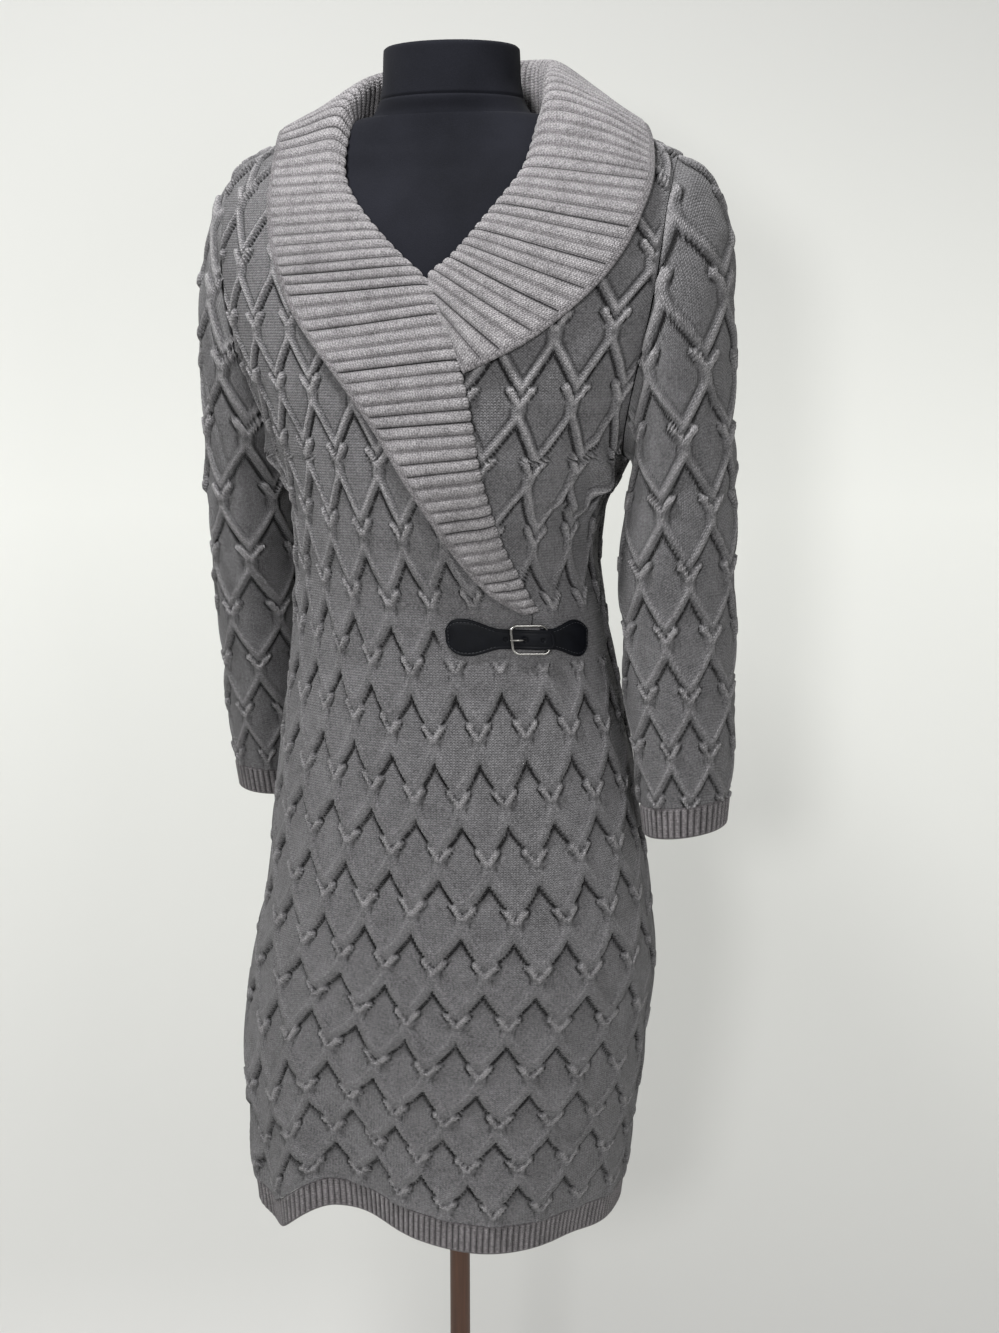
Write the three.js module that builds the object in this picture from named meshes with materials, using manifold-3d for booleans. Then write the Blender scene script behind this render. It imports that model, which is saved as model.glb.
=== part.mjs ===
// Cable-knit sweater dress with a ribbed shawl collar and a leather buckle tab, standing on a
// limbless dress form with a wooden pole and a round base. Millimetres, +Z up, the front faces -Y.
// The origin is the centre of the base's underside.
import * as THREE from 'three';
import { mergeVertices } from 'three/addons/utils/BufferGeometryUtils.js';
import Module from 'manifold-3d';

const wasm = await Module();
wasm.setup();

// ---- driving dimensions -------------------------------------------------------------------
const WALL = 3;               // knit thickness of the body and sleeves
const COLLAR_WALL = 3.6;      // rib knit of the collar
const SEAM = 0.3;             // room between neighbouring pieces
const HEM_LOW = 517;          // height of the hem above the floor, before it swings
const HEM_SEAM = 543;         // top of the ribbed hem band
const WRAP_FOOT = 1046;       // height where the wrap opens, behind the top of the tab
const UNDERARM = 1175;
const SHOULDER = 1411;        // top of the armhole
const NECK_TOP_ROW = 1446;    // last row of knitting before the collar
const FRONT_COLUMNS = 20;     // strips round the front of the body, and round the back
const BACK_COLUMNS = 18;
const ARMHOLE_DEPTH = 62;     // half width of the armhole, front to back
const UNDERLAP = 26;          // how far the under front reaches below the wrap edge, higher up
const WRAP_LIFT = 3.6;        // how far the wrapped front lies above the under front

// Cross-sections of the worn dress: height, half width, front and back depth, sideways shift and
// how square the section is (2 is an ellipse).
const BODY = [
  // z, half, front, back, shift, square
  [480, 155, 116, 120, -18, 2.05],
  [517, 157, 118, 121, -17, 2.05],
  [560, 164, 118, 122, -17, 2.1],
  [610, 171, 117, 122, -17, 2.1],
  [665, 177, 118, 123, -14, 2.1],
  [735, 176, 119, 125, -6, 2.15],
  [800, 167, 116, 125, -1, 2.2],
  [860, 160, 111, 121, -2, 2.2],
  [930, 150, 106, 112, -3, 2.2],
  [970, 144, 103, 105, -4, 2.2],
  [1010, 137, 101, 99, -5, 2.2],
  [1050, 131, 103, 96, -6, 2.2],
  [1090, 127, 110, 96, -8, 2.25],
  [1130, 129, 120, 100, -6, 2.3],
  [1175, 145, 127, 107, -1, 2.4],
  [1230, 168, 126, 113, 0, 2.5],
  [1260, 180, 122, 114, 0, 2.6],
  [1290, 191, 116, 112, 0, 2.6],
  [1320, 199, 108, 108, 0, 2.6],
  [1350, 202, 97, 101, 0, 2.6],
  [1380, 200, 82, 90, 0, 2.6],
  [1400, 193, 69, 78, 0, 2.5],
  [1412, 183, 62, 70, 0, 2.4],
  [1424, 154, 56, 64, 0, 2.3],
  [1438, 108, 52, 59, 0, 2.2],
  [1453, 62, 50, 56, -2, 2.1],
];

// Soft vertical folds of the skirt: angle round the body (0 front, 90 the +X side), angular
// width, how far the fold stands out at the hem, and the height where it has died away.
const SKIRT_FOLDS = [
  // angle, width, out, top
  [-64, 8, 13, 800],
  [-38, 13, 12, 760],
  [-12, 13, -15, 720],
  [28, 19, 11, 700],
  [62, 12, -6, 700],
  [110, 14, 7, 740],
  [140, 14, -8, 700],
  [172, 16, 9, 760],
  [-158, 13, -7, 700],
  [-130, 15, 10, 770],
  [-100, 10, -5, 720],
];
// How far the hem is carried up as the skirt swings, all round.
const HEM_RISE = [
  // angle, rise
  [-180, 18], [-130, 38], [-98, 60], [-78, 52], [-62, -4], [-50, -12], [-22, 26], [6, 12], [28, 6],
  [62, 4], [90, 2], [130, 6], [180, 18],
];

const rad = THREE.MathUtils.degToRad;
const clamp = THREE.MathUtils.clamp;
const smooth = (a, b, x) => {
  const t = clamp((x - a) / (b - a), 0, 1);
  return t * t * (3 - 2 * t);
};
const mix = (a, b, t) => a + (b - a) * t;

// One column of a table at x, on a smooth curve that never overshoots its rows.
function column(rows, index, x) {
  let i = 0;
  while (i < rows.length - 2 && rows[i + 1][0] < x) i++;
  const slope = (k) => {
    const rise = (j) => (rows[j + 1][index] - rows[j][index]) / (rows[j + 1][0] - rows[j][0]);
    if (k === 0 || k === rows.length - 1) return rise(Math.min(k, rows.length - 2));
    const before = rise(k - 1);
    const after = rise(k);
    return before * after <= 0 ? 0 : (2 * before * after) / (before + after);
  };
  const h = rows[i + 1][0] - rows[i][0];
  const t = clamp((x - rows[i][0]) / h, 0, 1);
  return (2 * t ** 3 - 3 * t ** 2 + 1) * rows[i][index] + (t ** 3 - 2 * t ** 2 + t) * h * slope(i)
    + (3 * t ** 2 - 2 * t ** 3) * rows[i + 1][index] + (t ** 3 - t ** 2) * h * slope(i + 1);
}

const section = (z) => {
  const [half, front, back, shift, square] = [1, 2, 3, 4, 5].map((k) => column(BODY, k, z));
  return { half, front, back, shift, square };
};

// A point on the smooth worn body; angle in degrees from the front centre towards +X.
function bodyPoint(angle, z) {
  const { half, front, back, shift, square } = section(z);
  const s = Math.sin(rad(angle));
  const c = Math.cos(rad(angle));
  const x = shift + half * Math.sign(s) * Math.abs(s) ** (2 / square);
  const y = -(c > 0 ? front : back) * Math.sign(c) * Math.abs(c) ** (2 / square);
  return new THREE.Vector3(x, y, z);
}

function bodyNormal(angle, z) {
  const around = bodyPoint(angle + 0.2, z).sub(bodyPoint(angle - 0.2, z));
  const up = bodyPoint(angle, Math.min(z + 0.5, 1453)).sub(bodyPoint(angle, z - 0.5));
  return around.cross(up).normalize();
}

// The angle at which the front surface passes through x at height z.
function angleOfX(x, z) {
  const { half, shift, square } = section(z);
  const across = clamp((x - shift) / half, -1, 1);
  return THREE.MathUtils.radToDeg(Math.asin(Math.sign(across) * Math.abs(across) ** (square / 2)));
}

function foldOut(angle, z) {
  let out = 0;
  for (const [centre, width, depth, top] of SKIRT_FOLDS) {
    const away = ((angle - centre + 540) % 360) - 180;
    out += depth * Math.exp(-((away / width) ** 2)) * smooth(top, HEM_LOW - 60, z);
  }
  return out;
}

// A point of the cloth, moved out along the surface by `out`, with the skirt's folds and swing.
function clothPoint(angle, z, out) {
  const p = bodyPoint(angle, z);
  const fold = foldOut(angle, z);
  p.addScaledVector(bodyNormal(angle, z), out + fold);
  const around = ((angle + 540) % 360) - 180;
  p.z += smooth(840, HEM_LOW, z) * column(HEM_RISE, 1, around);
  return p;
}

// ---- closed walls from two grids of points --------------------------------------------------
function geometryOf(points, faces) {
  const geometry = new THREE.BufferGeometry();
  geometry.setAttribute('position', new THREE.Float32BufferAttribute(points.flatMap((p) => [p.x, p.y, p.z]), 3));
  geometry.setIndex(faces);
  return geometry;
}

// A sheet of rows and columns with an outer and an inner side, closed round its edges.
function sheetWall(outer, inner) {
  const rows = outer.length;
  const cols = outer[0].length;
  const points = [...outer.flat(), ...inner.flat()];
  const at = (side, r, c) => side * rows * cols + r * cols + c;
  const faces = [];
  const quad = (a, b, c, d) => faces.push(a, b, c, a, c, d);
  for (let r = 0; r < rows - 1; r++) {
    for (let c = 0; c < cols - 1; c++) {
      quad(at(0, r, c), at(0, r, c + 1), at(0, r + 1, c + 1), at(0, r + 1, c));
      quad(at(1, r, c), at(1, r + 1, c), at(1, r + 1, c + 1), at(1, r, c + 1));
    }
    quad(at(0, r, 0), at(0, r + 1, 0), at(1, r + 1, 0), at(1, r, 0));
    quad(at(0, r, cols - 1), at(1, r, cols - 1), at(1, r + 1, cols - 1), at(0, r + 1, cols - 1));
  }
  for (let c = 0; c < cols - 1; c++) {
    quad(at(0, 0, c), at(1, 0, c), at(1, 0, c + 1), at(0, 0, c + 1));
    quad(at(0, rows - 1, c), at(0, rows - 1, c + 1), at(1, rows - 1, c + 1), at(1, rows - 1, c));
  }
  return geometryOf(points, faces);
}

// A tube of rings with an outer and an inner side, open at both ends.
function tubeWall(outer, inner) {
  const rows = outer.length;
  const cols = outer[0].length;
  const points = [...outer.flat(), ...inner.flat()];
  const at = (side, r, c) => side * rows * cols + r * cols + (c % cols);
  const faces = [];
  const quad = (a, b, c, d) => faces.push(a, b, c, a, c, d);
  for (let c = 0; c < cols; c++) {
    for (let r = 0; r < rows - 1; r++) {
      quad(at(0, r, c), at(0, r, c + 1), at(0, r + 1, c + 1), at(0, r + 1, c));
      quad(at(1, r, c), at(1, r + 1, c), at(1, r + 1, c + 1), at(1, r, c + 1));
    }
    quad(at(0, 0, c), at(1, 0, c), at(1, 0, c + 1), at(0, 0, c + 1));
    quad(at(0, rows - 1, c), at(0, rows - 1, c + 1), at(1, rows - 1, c + 1), at(1, rows - 1, c));
  }
  return geometryOf(points, faces);
}

// A solid of rings, closed by a flat cap at each end.
function ringSolid(rings) {
  const rows = rings.length;
  const cols = rings[0].length;
  const middle = (ring) => ring.reduce((sum, p) => sum.add(p), new THREE.Vector3()).divideScalar(cols);
  const points = [...rings.flat(), middle(rings[0]), middle(rings[rows - 1])];
  const faces = [];
  for (let c = 0; c < cols; c++) {
    const next = (c + 1) % cols;
    for (let r = 0; r < rows - 1; r++) {
      const [a, b] = [r * cols + c, r * cols + next];
      faces.push(a, b, b + cols, a, b + cols, a + cols);
    }
    faces.push(rows * cols, next, c);
    faces.push(rows * cols + 1, (rows - 1) * cols + c, (rows - 1) * cols + next);
  }
  return geometryOf(points, faces);
}

// Joins and cuts go through closed solids with shared points.
function toManifold(geometry) {
  geometry.deleteAttribute('normal');
  geometry.deleteAttribute('uv');
  const merged = mergeVertices(geometry, 1e-4);
  return new wasm.Manifold(new wasm.Mesh({
    numProp: 3,
    vertProperties: new Float32Array(merged.attributes.position.array),
    triVerts: new Uint32Array(merged.index.array),
  }));
}
function fromManifold(solid) {
  const mesh = solid.getMesh();
  const geometry = new THREE.BufferGeometry();
  geometry.setAttribute('position', new THREE.BufferAttribute(new Float32Array(mesh.vertProperties), 3));
  geometry.setIndex(new THREE.BufferAttribute(new Uint32Array(mesh.triVerts), 1));
  return geometry;
}

// ---- materials --------------------------------------------------------------------------------
const knit = (color) => new THREE.MeshStandardMaterial({ color, roughness: 0.95, metalness: 0, side: THREE.DoubleSide });
const leather = () => new THREE.MeshStandardMaterial({ color: 0x14171d, roughness: 0.5, metalness: 0 });
const nickel = () => new THREE.MeshStandardMaterial({ color: 0xb9b9bb, roughness: 0.25, metalness: 1 });
const jersey = () => new THREE.MeshStandardMaterial({ color: 0x26272e, roughness: 0.9, metalness: 0 });
const wood = () => new THREE.MeshStandardMaterial({ color: 0x5b3c2a, roughness: 0.55, metalness: 0 });

const dress = new THREE.Group();
function add(name, geometry, material, parent = dress) {
  geometry.computeVertexNormals();
  const mesh = new THREE.Mesh(geometry, material);
  mesh.name = name;
  parent.add(mesh);
}

// ---- edges of the panels ------------------------------------------------------------------------
// The roll line of the collar on each front: height and x.
const ROLL_LEFT = [
  // z, x
  [1053, 90], [1070, 81], [1088, 74], [1110, 66], [1137, 60], [1167, 55], [1203, 50], [1231, 45],
  [1252, 39], [1272, 31], [1292, 22], [1310, 12], [1320, 0], [1339, -22], [1363, -47], [1383, -64],
  [1399, -72], [1415, -75], [1432, -77], [1450, -77],
];
const ROLL_RIGHT = [
  // z, x
  [1242, 42], [1272, 31], [1292, 22], [1310, 15], [1331, 35], [1357, 55], [1380, 71], [1403, 82],
  [1426, 85], [1450, 82],
];
const COLLAR_OVER = 3;        // the collar's roll stands this far past the edge of the knitting

// Half the armhole's width at height z, front to back.
const armholeY = (z) => {
  const middle = (UNDERARM + SHOULDER) / 2;
  const reach = (SHOULDER - UNDERARM) / 2;
  const t = clamp((z - middle) / reach, -1, 1);
  return ARMHOLE_DEPTH * Math.sqrt(1 - t * t);
};

// Angle from the front (or back) centre to the side seam, armhole or shoulder seam at height z.
function sideAngle(z, isFront) {
  if (z <= UNDERARM || z >= SHOULDER) return 90;
  const { front, back, square } = section(z);
  const share = armholeY(z) / (isFront ? front : back);
  return THREE.MathUtils.radToDeg(Math.acos(clamp(share ** (square / 2), 0, 1)));
}

// Heights of the rows of a panel: even steps, closer round the armhole's ends.
function steps(from, to, count) {
  return Array.from({ length: count + 1 }, (_, i) => mix(from, to, i / count));
}
function armholeSteps(count) {
  return Array.from({ length: count + 1 }, (_, i) => {
    const t = (1 - Math.cos((Math.PI * i) / count)) / 2;
    return mix(UNDERARM, SHOULDER, t);
  });
}
const ARM_ROWS = armholeSteps(11);
const YOKE_ROWS = [1417, 1424, 1431, 1438, NECK_TOP_ROW];
const SKIRT_TOP = 1036;       // last row of the skirt, below the wrap's foot
const SKIRT_ROWS = steps(HEM_SEAM, SKIRT_TOP, 13);
const WAIST_ROWS = [1053, 1064, 1084, 1108, 1128, 1144, 1160];
const UPPER_ROWS = [WRAP_FOOT, ...WAIST_ROWS, ...ARM_ROWS, ...YOKE_ROWS];

// A panel of the body: for each height the angles of its two edges, and the lift over what it covers.
function bodyPanel(heights, edges, columns, lift = () => 0) {
  const grid = (depth) => heights.map((z) => {
    const [a, b] = edges(z);
    return Array.from({ length: columns + 1 }, (_, i) => {
      const angle = mix(a, b, i / columns);
      return clothPoint(angle, z, lift(angle, z) + depth);
    });
  });
  return sheetWall(grid(0), grid(-WALL));
}

const seamAngle = (z) => THREE.MathUtils.radToDeg(SEAM / 2 / section(z).front);

// The wrapped front: the whole skirt and the -X bodice, on top. Its free edge is cut along the
// roll of the collar, from the tab up to the neck.
const wrapEdge = (z) => column(ROLL_LEFT, 1, Math.max(z, 1053)) - COLLAR_OVER;
const underReach = (z) => (UNDERLAP + 1) * smooth(WRAP_FOOT + 16, 1104, z) - 1;
const wrapLift = (angle, z) => {
  const edge = wrapEdge(z) - underReach(z);
  const x = bodyPoint(angle, z).x;
  const rise = smooth(WRAP_FOOT + 1, 1062, z) * (1 - smooth(1321, 1343, z));
  return WRAP_LIFT * rise * smooth(edge - 44, edge - 20, x);
};
const frontEdges = (z) => {
  const side = sideAngle(z, true) - seamAngle(z);
  return [-side, side];
};
const FAR = 400;              // beyond the whole garment
const ABOVE = NECK_TOP_ROW + 10;
const FRONT_ROWS = [...SKIRT_ROWS, ...UPPER_ROWS];

// A block in front of the body, from the given edge line to far on one side.
function sideCutter(edge, from, sign) {
  const outline = new THREE.Shape();
  outline.moveTo(sign * FAR, from);
  for (const z of steps(from, ABOVE, 32)) outline.lineTo(edge(z), z);
  outline.lineTo(sign * FAR, ABOVE);
  const cutter = new THREE.ExtrudeGeometry(outline, { depth: FAR, bevelEnabled: false });
  cutter.rotateX(Math.PI / 2);
  return toManifold(cutter);
}
const wrapWhole = toManifold(bodyPanel(FRONT_ROWS, frontEdges, FRONT_COLUMNS, wrapLift));
add('front_wrap', fromManifold(wrapWhole.subtract(sideCutter(wrapEdge, WRAP_FOOT, 1))), knit(0x757376));

// The under front: the +X bodice, whose inner edge runs on below the wrap.
const underEdge = (z) => mix(wrapEdge(z) - underReach(z), column(ROLL_RIGHT, 1, z) + COLLAR_OVER,
  smooth(1296, 1316, z));
const UNDER_ROWS = [WRAP_FOOT + 2 * SEAM, ...UPPER_ROWS.slice(1)];
const underWhole = toManifold(bodyPanel(UNDER_ROWS, frontEdges, FRONT_COLUMNS));
add('front_under', fromManifold(underWhole.subtract(sideCutter(underEdge, WRAP_FOOT - 6, -1))), knit(0x757376));

// The back, from side seam to side seam.
const backEdges = (z) => {
  const side = 180 - sideAngle(z, false) + seamAngle(z);
  return [side, 360 - side];
};
add('back', bodyPanel([...SKIRT_ROWS, ...UPPER_ROWS], backEdges, BACK_COLUMNS), knit(0x706e71));

// Ribbed hem bands, joined at the side seams.
const HEM_ROWS = steps(HEM_LOW, HEM_SEAM - SEAM, 2);
add('hem_front', bodyPanel(HEM_ROWS, frontEdges, FRONT_COLUMNS), knit(0x6a6668));
add('hem_back', bodyPanel(HEM_ROWS, backEdges, BACK_COLUMNS), knit(0x6a6668));

// ---- sleeves ------------------------------------------------------------------------------------
// Sections from the armhole down: the inner and the outer point of each ring, half its depth front
// to back, and where its middle lies.
const SLEEVE_RIGHT = [
  // inX, inZ, outX, outZ, depth, y
  [151, 1173, 205, 1398, 65, 0],
  [154, 1166, 219, 1370, 66, -1],
  [152, 1150, 227, 1330, 66, -2],
  [148, 1125, 230, 1283, 64, -3],
  [144, 1090, 231, 1220, 60, -5],
  [145, 1043, 234, 1140, 56, -7],
  [149, 993, 236, 1060, 51, -8],
  [155, 943, 237, 985, 46, -9],
  [161, 905, 237, 925, 41, -10],
  [163, 893, 236, 903, 39, -10],
  [166, 867, 234, 877, 38, -10],
];
const SLEEVE_LEFT = [
  // inX, inZ, outX, outZ, depth, y
  [-151, 1173, -199, 1396, 65, 0],
  [-153, 1166, -209, 1368, 66, 2],
  [-154, 1150, -218, 1328, 66, 5],
  [-154, 1125, -223, 1280, 64, 8],
  [-154, 1090, -225, 1215, 60, 13],
  [-156, 1043, -228, 1135, 56, 22],
  [-159, 990, -230, 1052, 51, 33],
  [-163, 938, -231, 975, 46, 46],
  [-166, 898, -232, 913, 42, 57],
  [-166, 886, -232, 891, 40, 60],
  [-166, 861, -231, 865, 39, 66],
];
const CUFF_RINGS = 2;         // the last rings of a sleeve are its cuff

// The armhole as a closed ring: up the front edge, down the back edge.
function armholeRing(sign, out) {
  const front = ARM_ROWS.map((z) => clothPoint(sign * sideAngle(z, true), z, out));
  const back = ARM_ROWS.slice(1, -1).reverse().map((z) => clothPoint(sign * (180 - sideAngle(z, false)), z, out));
  const ring = [...front, ...back];
  const middle = (UNDERARM + SHOULDER) / 2;
  for (const p of ring) {
    p.x += sign * (SEAM + 0.1);
    p.y -= Math.sign(p.y) * (SEAM + 0.1);
    p.z -= Math.sign(p.z - middle) * (SEAM + 0.1);
  }
  return ring;
}

// Rings of a sleeve, each with as many points as the armhole, inner point first.
function sleeveRings(sign, table, inset) {
  const armhole = armholeRing(sign, 0);
  const count = armhole.length;
  const start = armholeRing(sign, -inset);
  const rings = [start];
  table.forEach(([inX, inZ, outX, outZ, depth, y], row) => {
    const inner = new THREE.Vector3(inX, y, inZ);
    const outer = new THREE.Vector3(outX, y, outZ);
    const centre = inner.clone().lerp(outer, 0.5);
    const reach = inner.distanceTo(outer) / 2 - inset;
    const across = outer.clone().sub(inner).normalize();
    const early = Math.max(0, 1 - row / 3);
    rings.push(armhole.map((p, i) => {
      const share = i / (count / 2);
      const even = Math.PI * share;
      const height = clamp((2 * p.z - UNDERARM - SHOULDER) / (SHOULDER - UNDERARM), -1, 1);
      const matched = i <= count / 2 ? Math.acos(-height) : 2 * Math.PI - Math.acos(-height);
      const turn = mix(even, matched, early);
      const q = centre.clone().addScaledVector(across, -Math.cos(turn) * reach);
      q.y -= Math.sin(turn) * (depth - inset);
      return q;
    }));
  });
  return rings;
}

function addSleeve(side, sign, table) {
  const outer = sleeveRings(sign, table, 0);
  const inner = sleeveRings(sign, table, WALL);
  const order = (rings) => (sign < 0 ? rings.map((ring) => [...ring].reverse()) : rings);
  const cut = outer.length - CUFF_RINGS;
  const upper = (rings) => order(rings.slice(0, cut + 1)).reverse();
  add(`sleeve_${side}`, tubeWall(upper(outer), upper(inner)), knit(0x737174));
  const band = (rings) => {
    const cuff = rings.slice(cut).map((ring) => ring.map((p) => p.clone()));
    for (const p of cuff[0]) p.z -= SEAM;
    return order(cuff).reverse();
  };
  add(`cuff_${side}`, tubeWall(band(outer), band(inner)), knit(0x6a6668));
}
addSleeve('left', -1, SLEEVE_LEFT);
addSleeve('right', 1, SLEEVE_RIGHT);

// ---- collar -------------------------------------------------------------------------------------
// The free edge of the collar on each front, against the height of the roll beside it.
const FALL_LEFT = [
  // roll height, edge x, edge z, edge lift
  [1056, 80, 1056, 7],
  [1070, 62, 1070, 8],
  [1088, 49, 1085, 8.5],
  [1110, 36, 1106, 9],
  [1137, 22, 1131, 9.5],
  [1167, 5, 1160, 9.5],
  [1203, -20, 1197, 9.5],
  [1231, -38, 1222, 9.5],
  [1252, -55, 1242, 9],
  [1272, -71, 1260, 8.5],
  [1292, -88, 1280, 8],
  [1310, -104, 1305, 7.5],
  [1330, -114, 1325, 7],
  [1350, -122, 1347, 7],
  [1372, -128, 1370, 7],
  [1395, -131, 1393, 7],
];
const FALL_RIGHT = [
  // roll height, edge x, edge z, edge lift
  [1395, 171, 1384, 7],
  [1377, 166, 1362, 7],
  [1360, 158, 1339, 7],
  [1343, 142, 1313, 7.5],
  [1328, 117, 1287, 8],
  [1314, 90, 1266, 8],
  [1300, 68, 1254, 8],
  [1286, 46, 1244, 8],
];
// Round the neck: the stand's foot, the roll, the middle of the fall and its edge.
const NECK = [
  // footX, footY, footZ, rollX, rollY, rollZ, fallX, fallY, fallZ, edgeX, edgeY, edgeZ
  [-77, -40, 1436, -83, -43, 1445, -110, -46, 1437, -134, -44, 1430],
  [-78, -12, 1448, -78, -14, 1467, -108, -14, 1453, -142, -13, 1435],
  [-72, 24, 1449, -70, 22, 1482, -98, 33, 1464, -130, 42, 1430],
  [-46, 50, 1449, -46, 56, 1491, -66, 76, 1472, -90, 90, 1425],
  [0, 61, 1449, 0, 72, 1494, 0, 97, 1475, 0, 110, 1421],
  [46, 50, 1449, 48, 56, 1492, 70, 76, 1474, 96, 90, 1426],
  [72, 24, 1449, 74, 22, 1485, 106, 33, 1466, 144, 42, 1430],
  [80, -12, 1448, 82, -14, 1471, 118, -14, 1455, 160, -13, 1431],
  [83, -38, 1438, 90, -42, 1448, 130, -40, 1438, 169, -34, 1416],
];
const COLLAR_LIFT = COLLAR_WALL / 2 + 0.4;   // the collar's middle above the panel it lies on
const COLLAR_STEPS = 5;                      // points across the collar between its control points

// The front surface at x, z, moved out; over the wrap the panel itself is already lifted.
function frontPoint(x, z, lift, overWrap) {
  const angle = angleOfX(x, z);
  return clothPoint(angle, z, lift + (overWrap ? wrapLift(angle, z) : 0));
}

function frontStation(rollZ, edgeX, edgeZ, edgeLift, rolls, overWrap) {
  const rollX = column(rolls, 1, rollZ);
  const direction = new THREE.Vector2(edgeX - rollX, edgeZ - rollZ);
  const width = direction.length();
  direction.normalize();
  const along = (distance, lift) => frontPoint(
    rollX + direction.x * distance, rollZ + direction.y * distance, lift, overWrap);
  const nose = Math.min(5, width * 0.3);
  return [along(0, COLLAR_LIFT), along(nose, COLLAR_LIFT + 2.2), along(width * 0.6, COLLAR_LIFT + 2.6),
    along(width, Math.max(edgeLift - COLLAR_WALL / 2, COLLAR_LIFT))];
}

function collarStations() {
  const left = FALL_LEFT.map(([rollZ, x, z, lift]) => frontStation(rollZ, x, z, lift, ROLL_LEFT, true));
  const right = FALL_RIGHT.map(([rollZ, x, z, lift]) => frontStation(rollZ, x, z, lift, ROLL_RIGHT, false));
  const neck = NECK.map((row) => [0, 3, 6, 9].map((k) => new THREE.Vector3(row[k], row[k + 1], row[k + 2])));
  return [...left, ...neck, ...right];
}

// A smooth curve through the control points of each station, sampled across the collar.
function collarGrids() {
  const across = collarStations().map((station) => {
    const curve = new THREE.CatmullRomCurve3(station, false, 'centripetal');
    const count = COLLAR_STEPS + 2;
    return Array.from({ length: count }, (_, i) => curve.getPoint(i / (count - 1)));
  });
  const rows = across.length;
  const normalAt = (r, c) => {
    const before = across[Math.max(r - 1, 0)][c];
    const after = across[Math.min(r + 1, rows - 1)][c];
    const left = across[r][Math.max(c - 1, 0)];
    const right = across[r][Math.min(c + 1, across[r].length - 1)];
    return after.clone().sub(before).cross(right.clone().sub(left)).normalize();
  };
  const side = (depth) => across.map((line, r) => line.map((p, c) => p.clone().addScaledVector(normalAt(r, c), depth)));
  return [side(COLLAR_WALL / 2), side(-COLLAR_WALL / 2)];
}
const [collarA, collarB] = collarGrids();
add('collar', sheetWall(collarB, collarA), knit(0x979294));

// ---- buckle tab -----------------------------------------------------------------------------------
// The tab follows the body at its own height: u runs round the body, v up, w out from the knitting.
const TAB_Z = 1035;
const TAB_X = 85;             // the buckle's middle
const TAB_SLOPE = -0.05;      // the tab drops slightly towards +X
const STRAP_THICK = 1.8;
const FRAME_WIRE = 2.3;
const FRAME_LIFT = 3;         // underside of the buckle frame above the knitting
const FRAME_HALF_U = 15.5;
const FRAME_HALF_V = 12.5;

function angleAlong(distance) {
  let angle = angleOfX(TAB_X, TAB_Z);
  const step = 0.25 * Math.sign(distance);
  let travelled = 0;
  while (travelled < Math.abs(distance)) {
    travelled += bodyPoint(angle + step, TAB_Z).distanceTo(bodyPoint(angle, TAB_Z));
    angle += step;
  }
  return angle;
}
const tabPoint = (u, v, w) => clothPoint(angleAlong(u), TAB_Z + v + TAB_SLOPE * u, w);

// A strip of leather: stations along u with half height and underside, evenly spaced.
function leatherStrip(stations, count, half, under) {
  const grid = (top) => stations.map((u) => Array.from({ length: count + 1 }, (_, i) => {
    const v = mix(-half(u), half(u), i / count);
    return tabPoint(u, v, under(u) + (top ? STRAP_THICK : 0));
  }));
  return sheetWall(grid(false), grid(true));
}

// Half height of a leaf-shaped paddle: round tip, wide belly and a narrow neck.
const leaf = (fromTip, length, belly, neck) => {
  const t = clamp(fromTip / length, 0, 1);
  const round = Math.sqrt(clamp(1 - ((fromTip - 13) / 13.5) ** 2, 0.01, 1));
  const body = fromTip < 13 ? belly * round : mix(belly, neck, smooth(0.28, 0.78, t));
  return Math.max(body, 1.2);
};
const LEFT_TIP = -66;
const STRAP_END = 19;
const RIGHT_TIP = 55;
const RIGHT_START = 10.5;

const strapHalf = (u) => (u < -8 ? leaf(u - LEFT_TIP, 58, 15, 8) : u > STRAP_END - 5 ? 8 - (u - STRAP_END + 5) * 0.7 : 8);
const strapUnder = (u) => 0.55 + (FRAME_LIFT + FRAME_WIRE - 0.1) * smooth(-9, 11, u) + 0.3 * smooth(-30, -18, u);
const strapUs = [LEFT_TIP, -65.2, -64, -62, -59, -55, -50, -44, -38, -32, -26, -21, -17, -13, -9, -6, -3, 0, 3,
  6, 9, 12, 16, STRAP_END];

// A round hole through the strap at u.
function holeAt(u, radius) {
  const middle = tabPoint(u, 0, 2);
  const out = bodyNormal(angleAlong(u), TAB_Z);
  const pin = new THREE.CylinderGeometry(radius, radius, 14, 10);
  pin.applyQuaternion(new THREE.Quaternion().setFromUnitVectors(new THREE.Vector3(0, 1, 0), out));
  pin.translate(middle.x, middle.y, middle.z);
  return toManifold(pin);
}
const PRONG_HOLE = -4;
let strap = toManifold(leatherStrip(strapUs, 6, strapHalf, strapUnder));
for (const [u, radius] of [[-19, 1.5], [PRONG_HOLE, 2.6], [9, 1.5]]) strap = strap.subtract(holeAt(u, radius));
add('tab_left', fromManifold(strap), leather());

const rightHalf = (u) => leaf(RIGHT_TIP - u, 46, 15, 8.5);
const rightUs = [RIGHT_START, 13, 16, 19, 24, 29, 34, 39, 43, 47, 50, 52.5, 54.2, RIGHT_TIP];
add('tab_right', leatherStrip(rightUs, 6, rightHalf, () => 0.4), leather());

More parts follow.
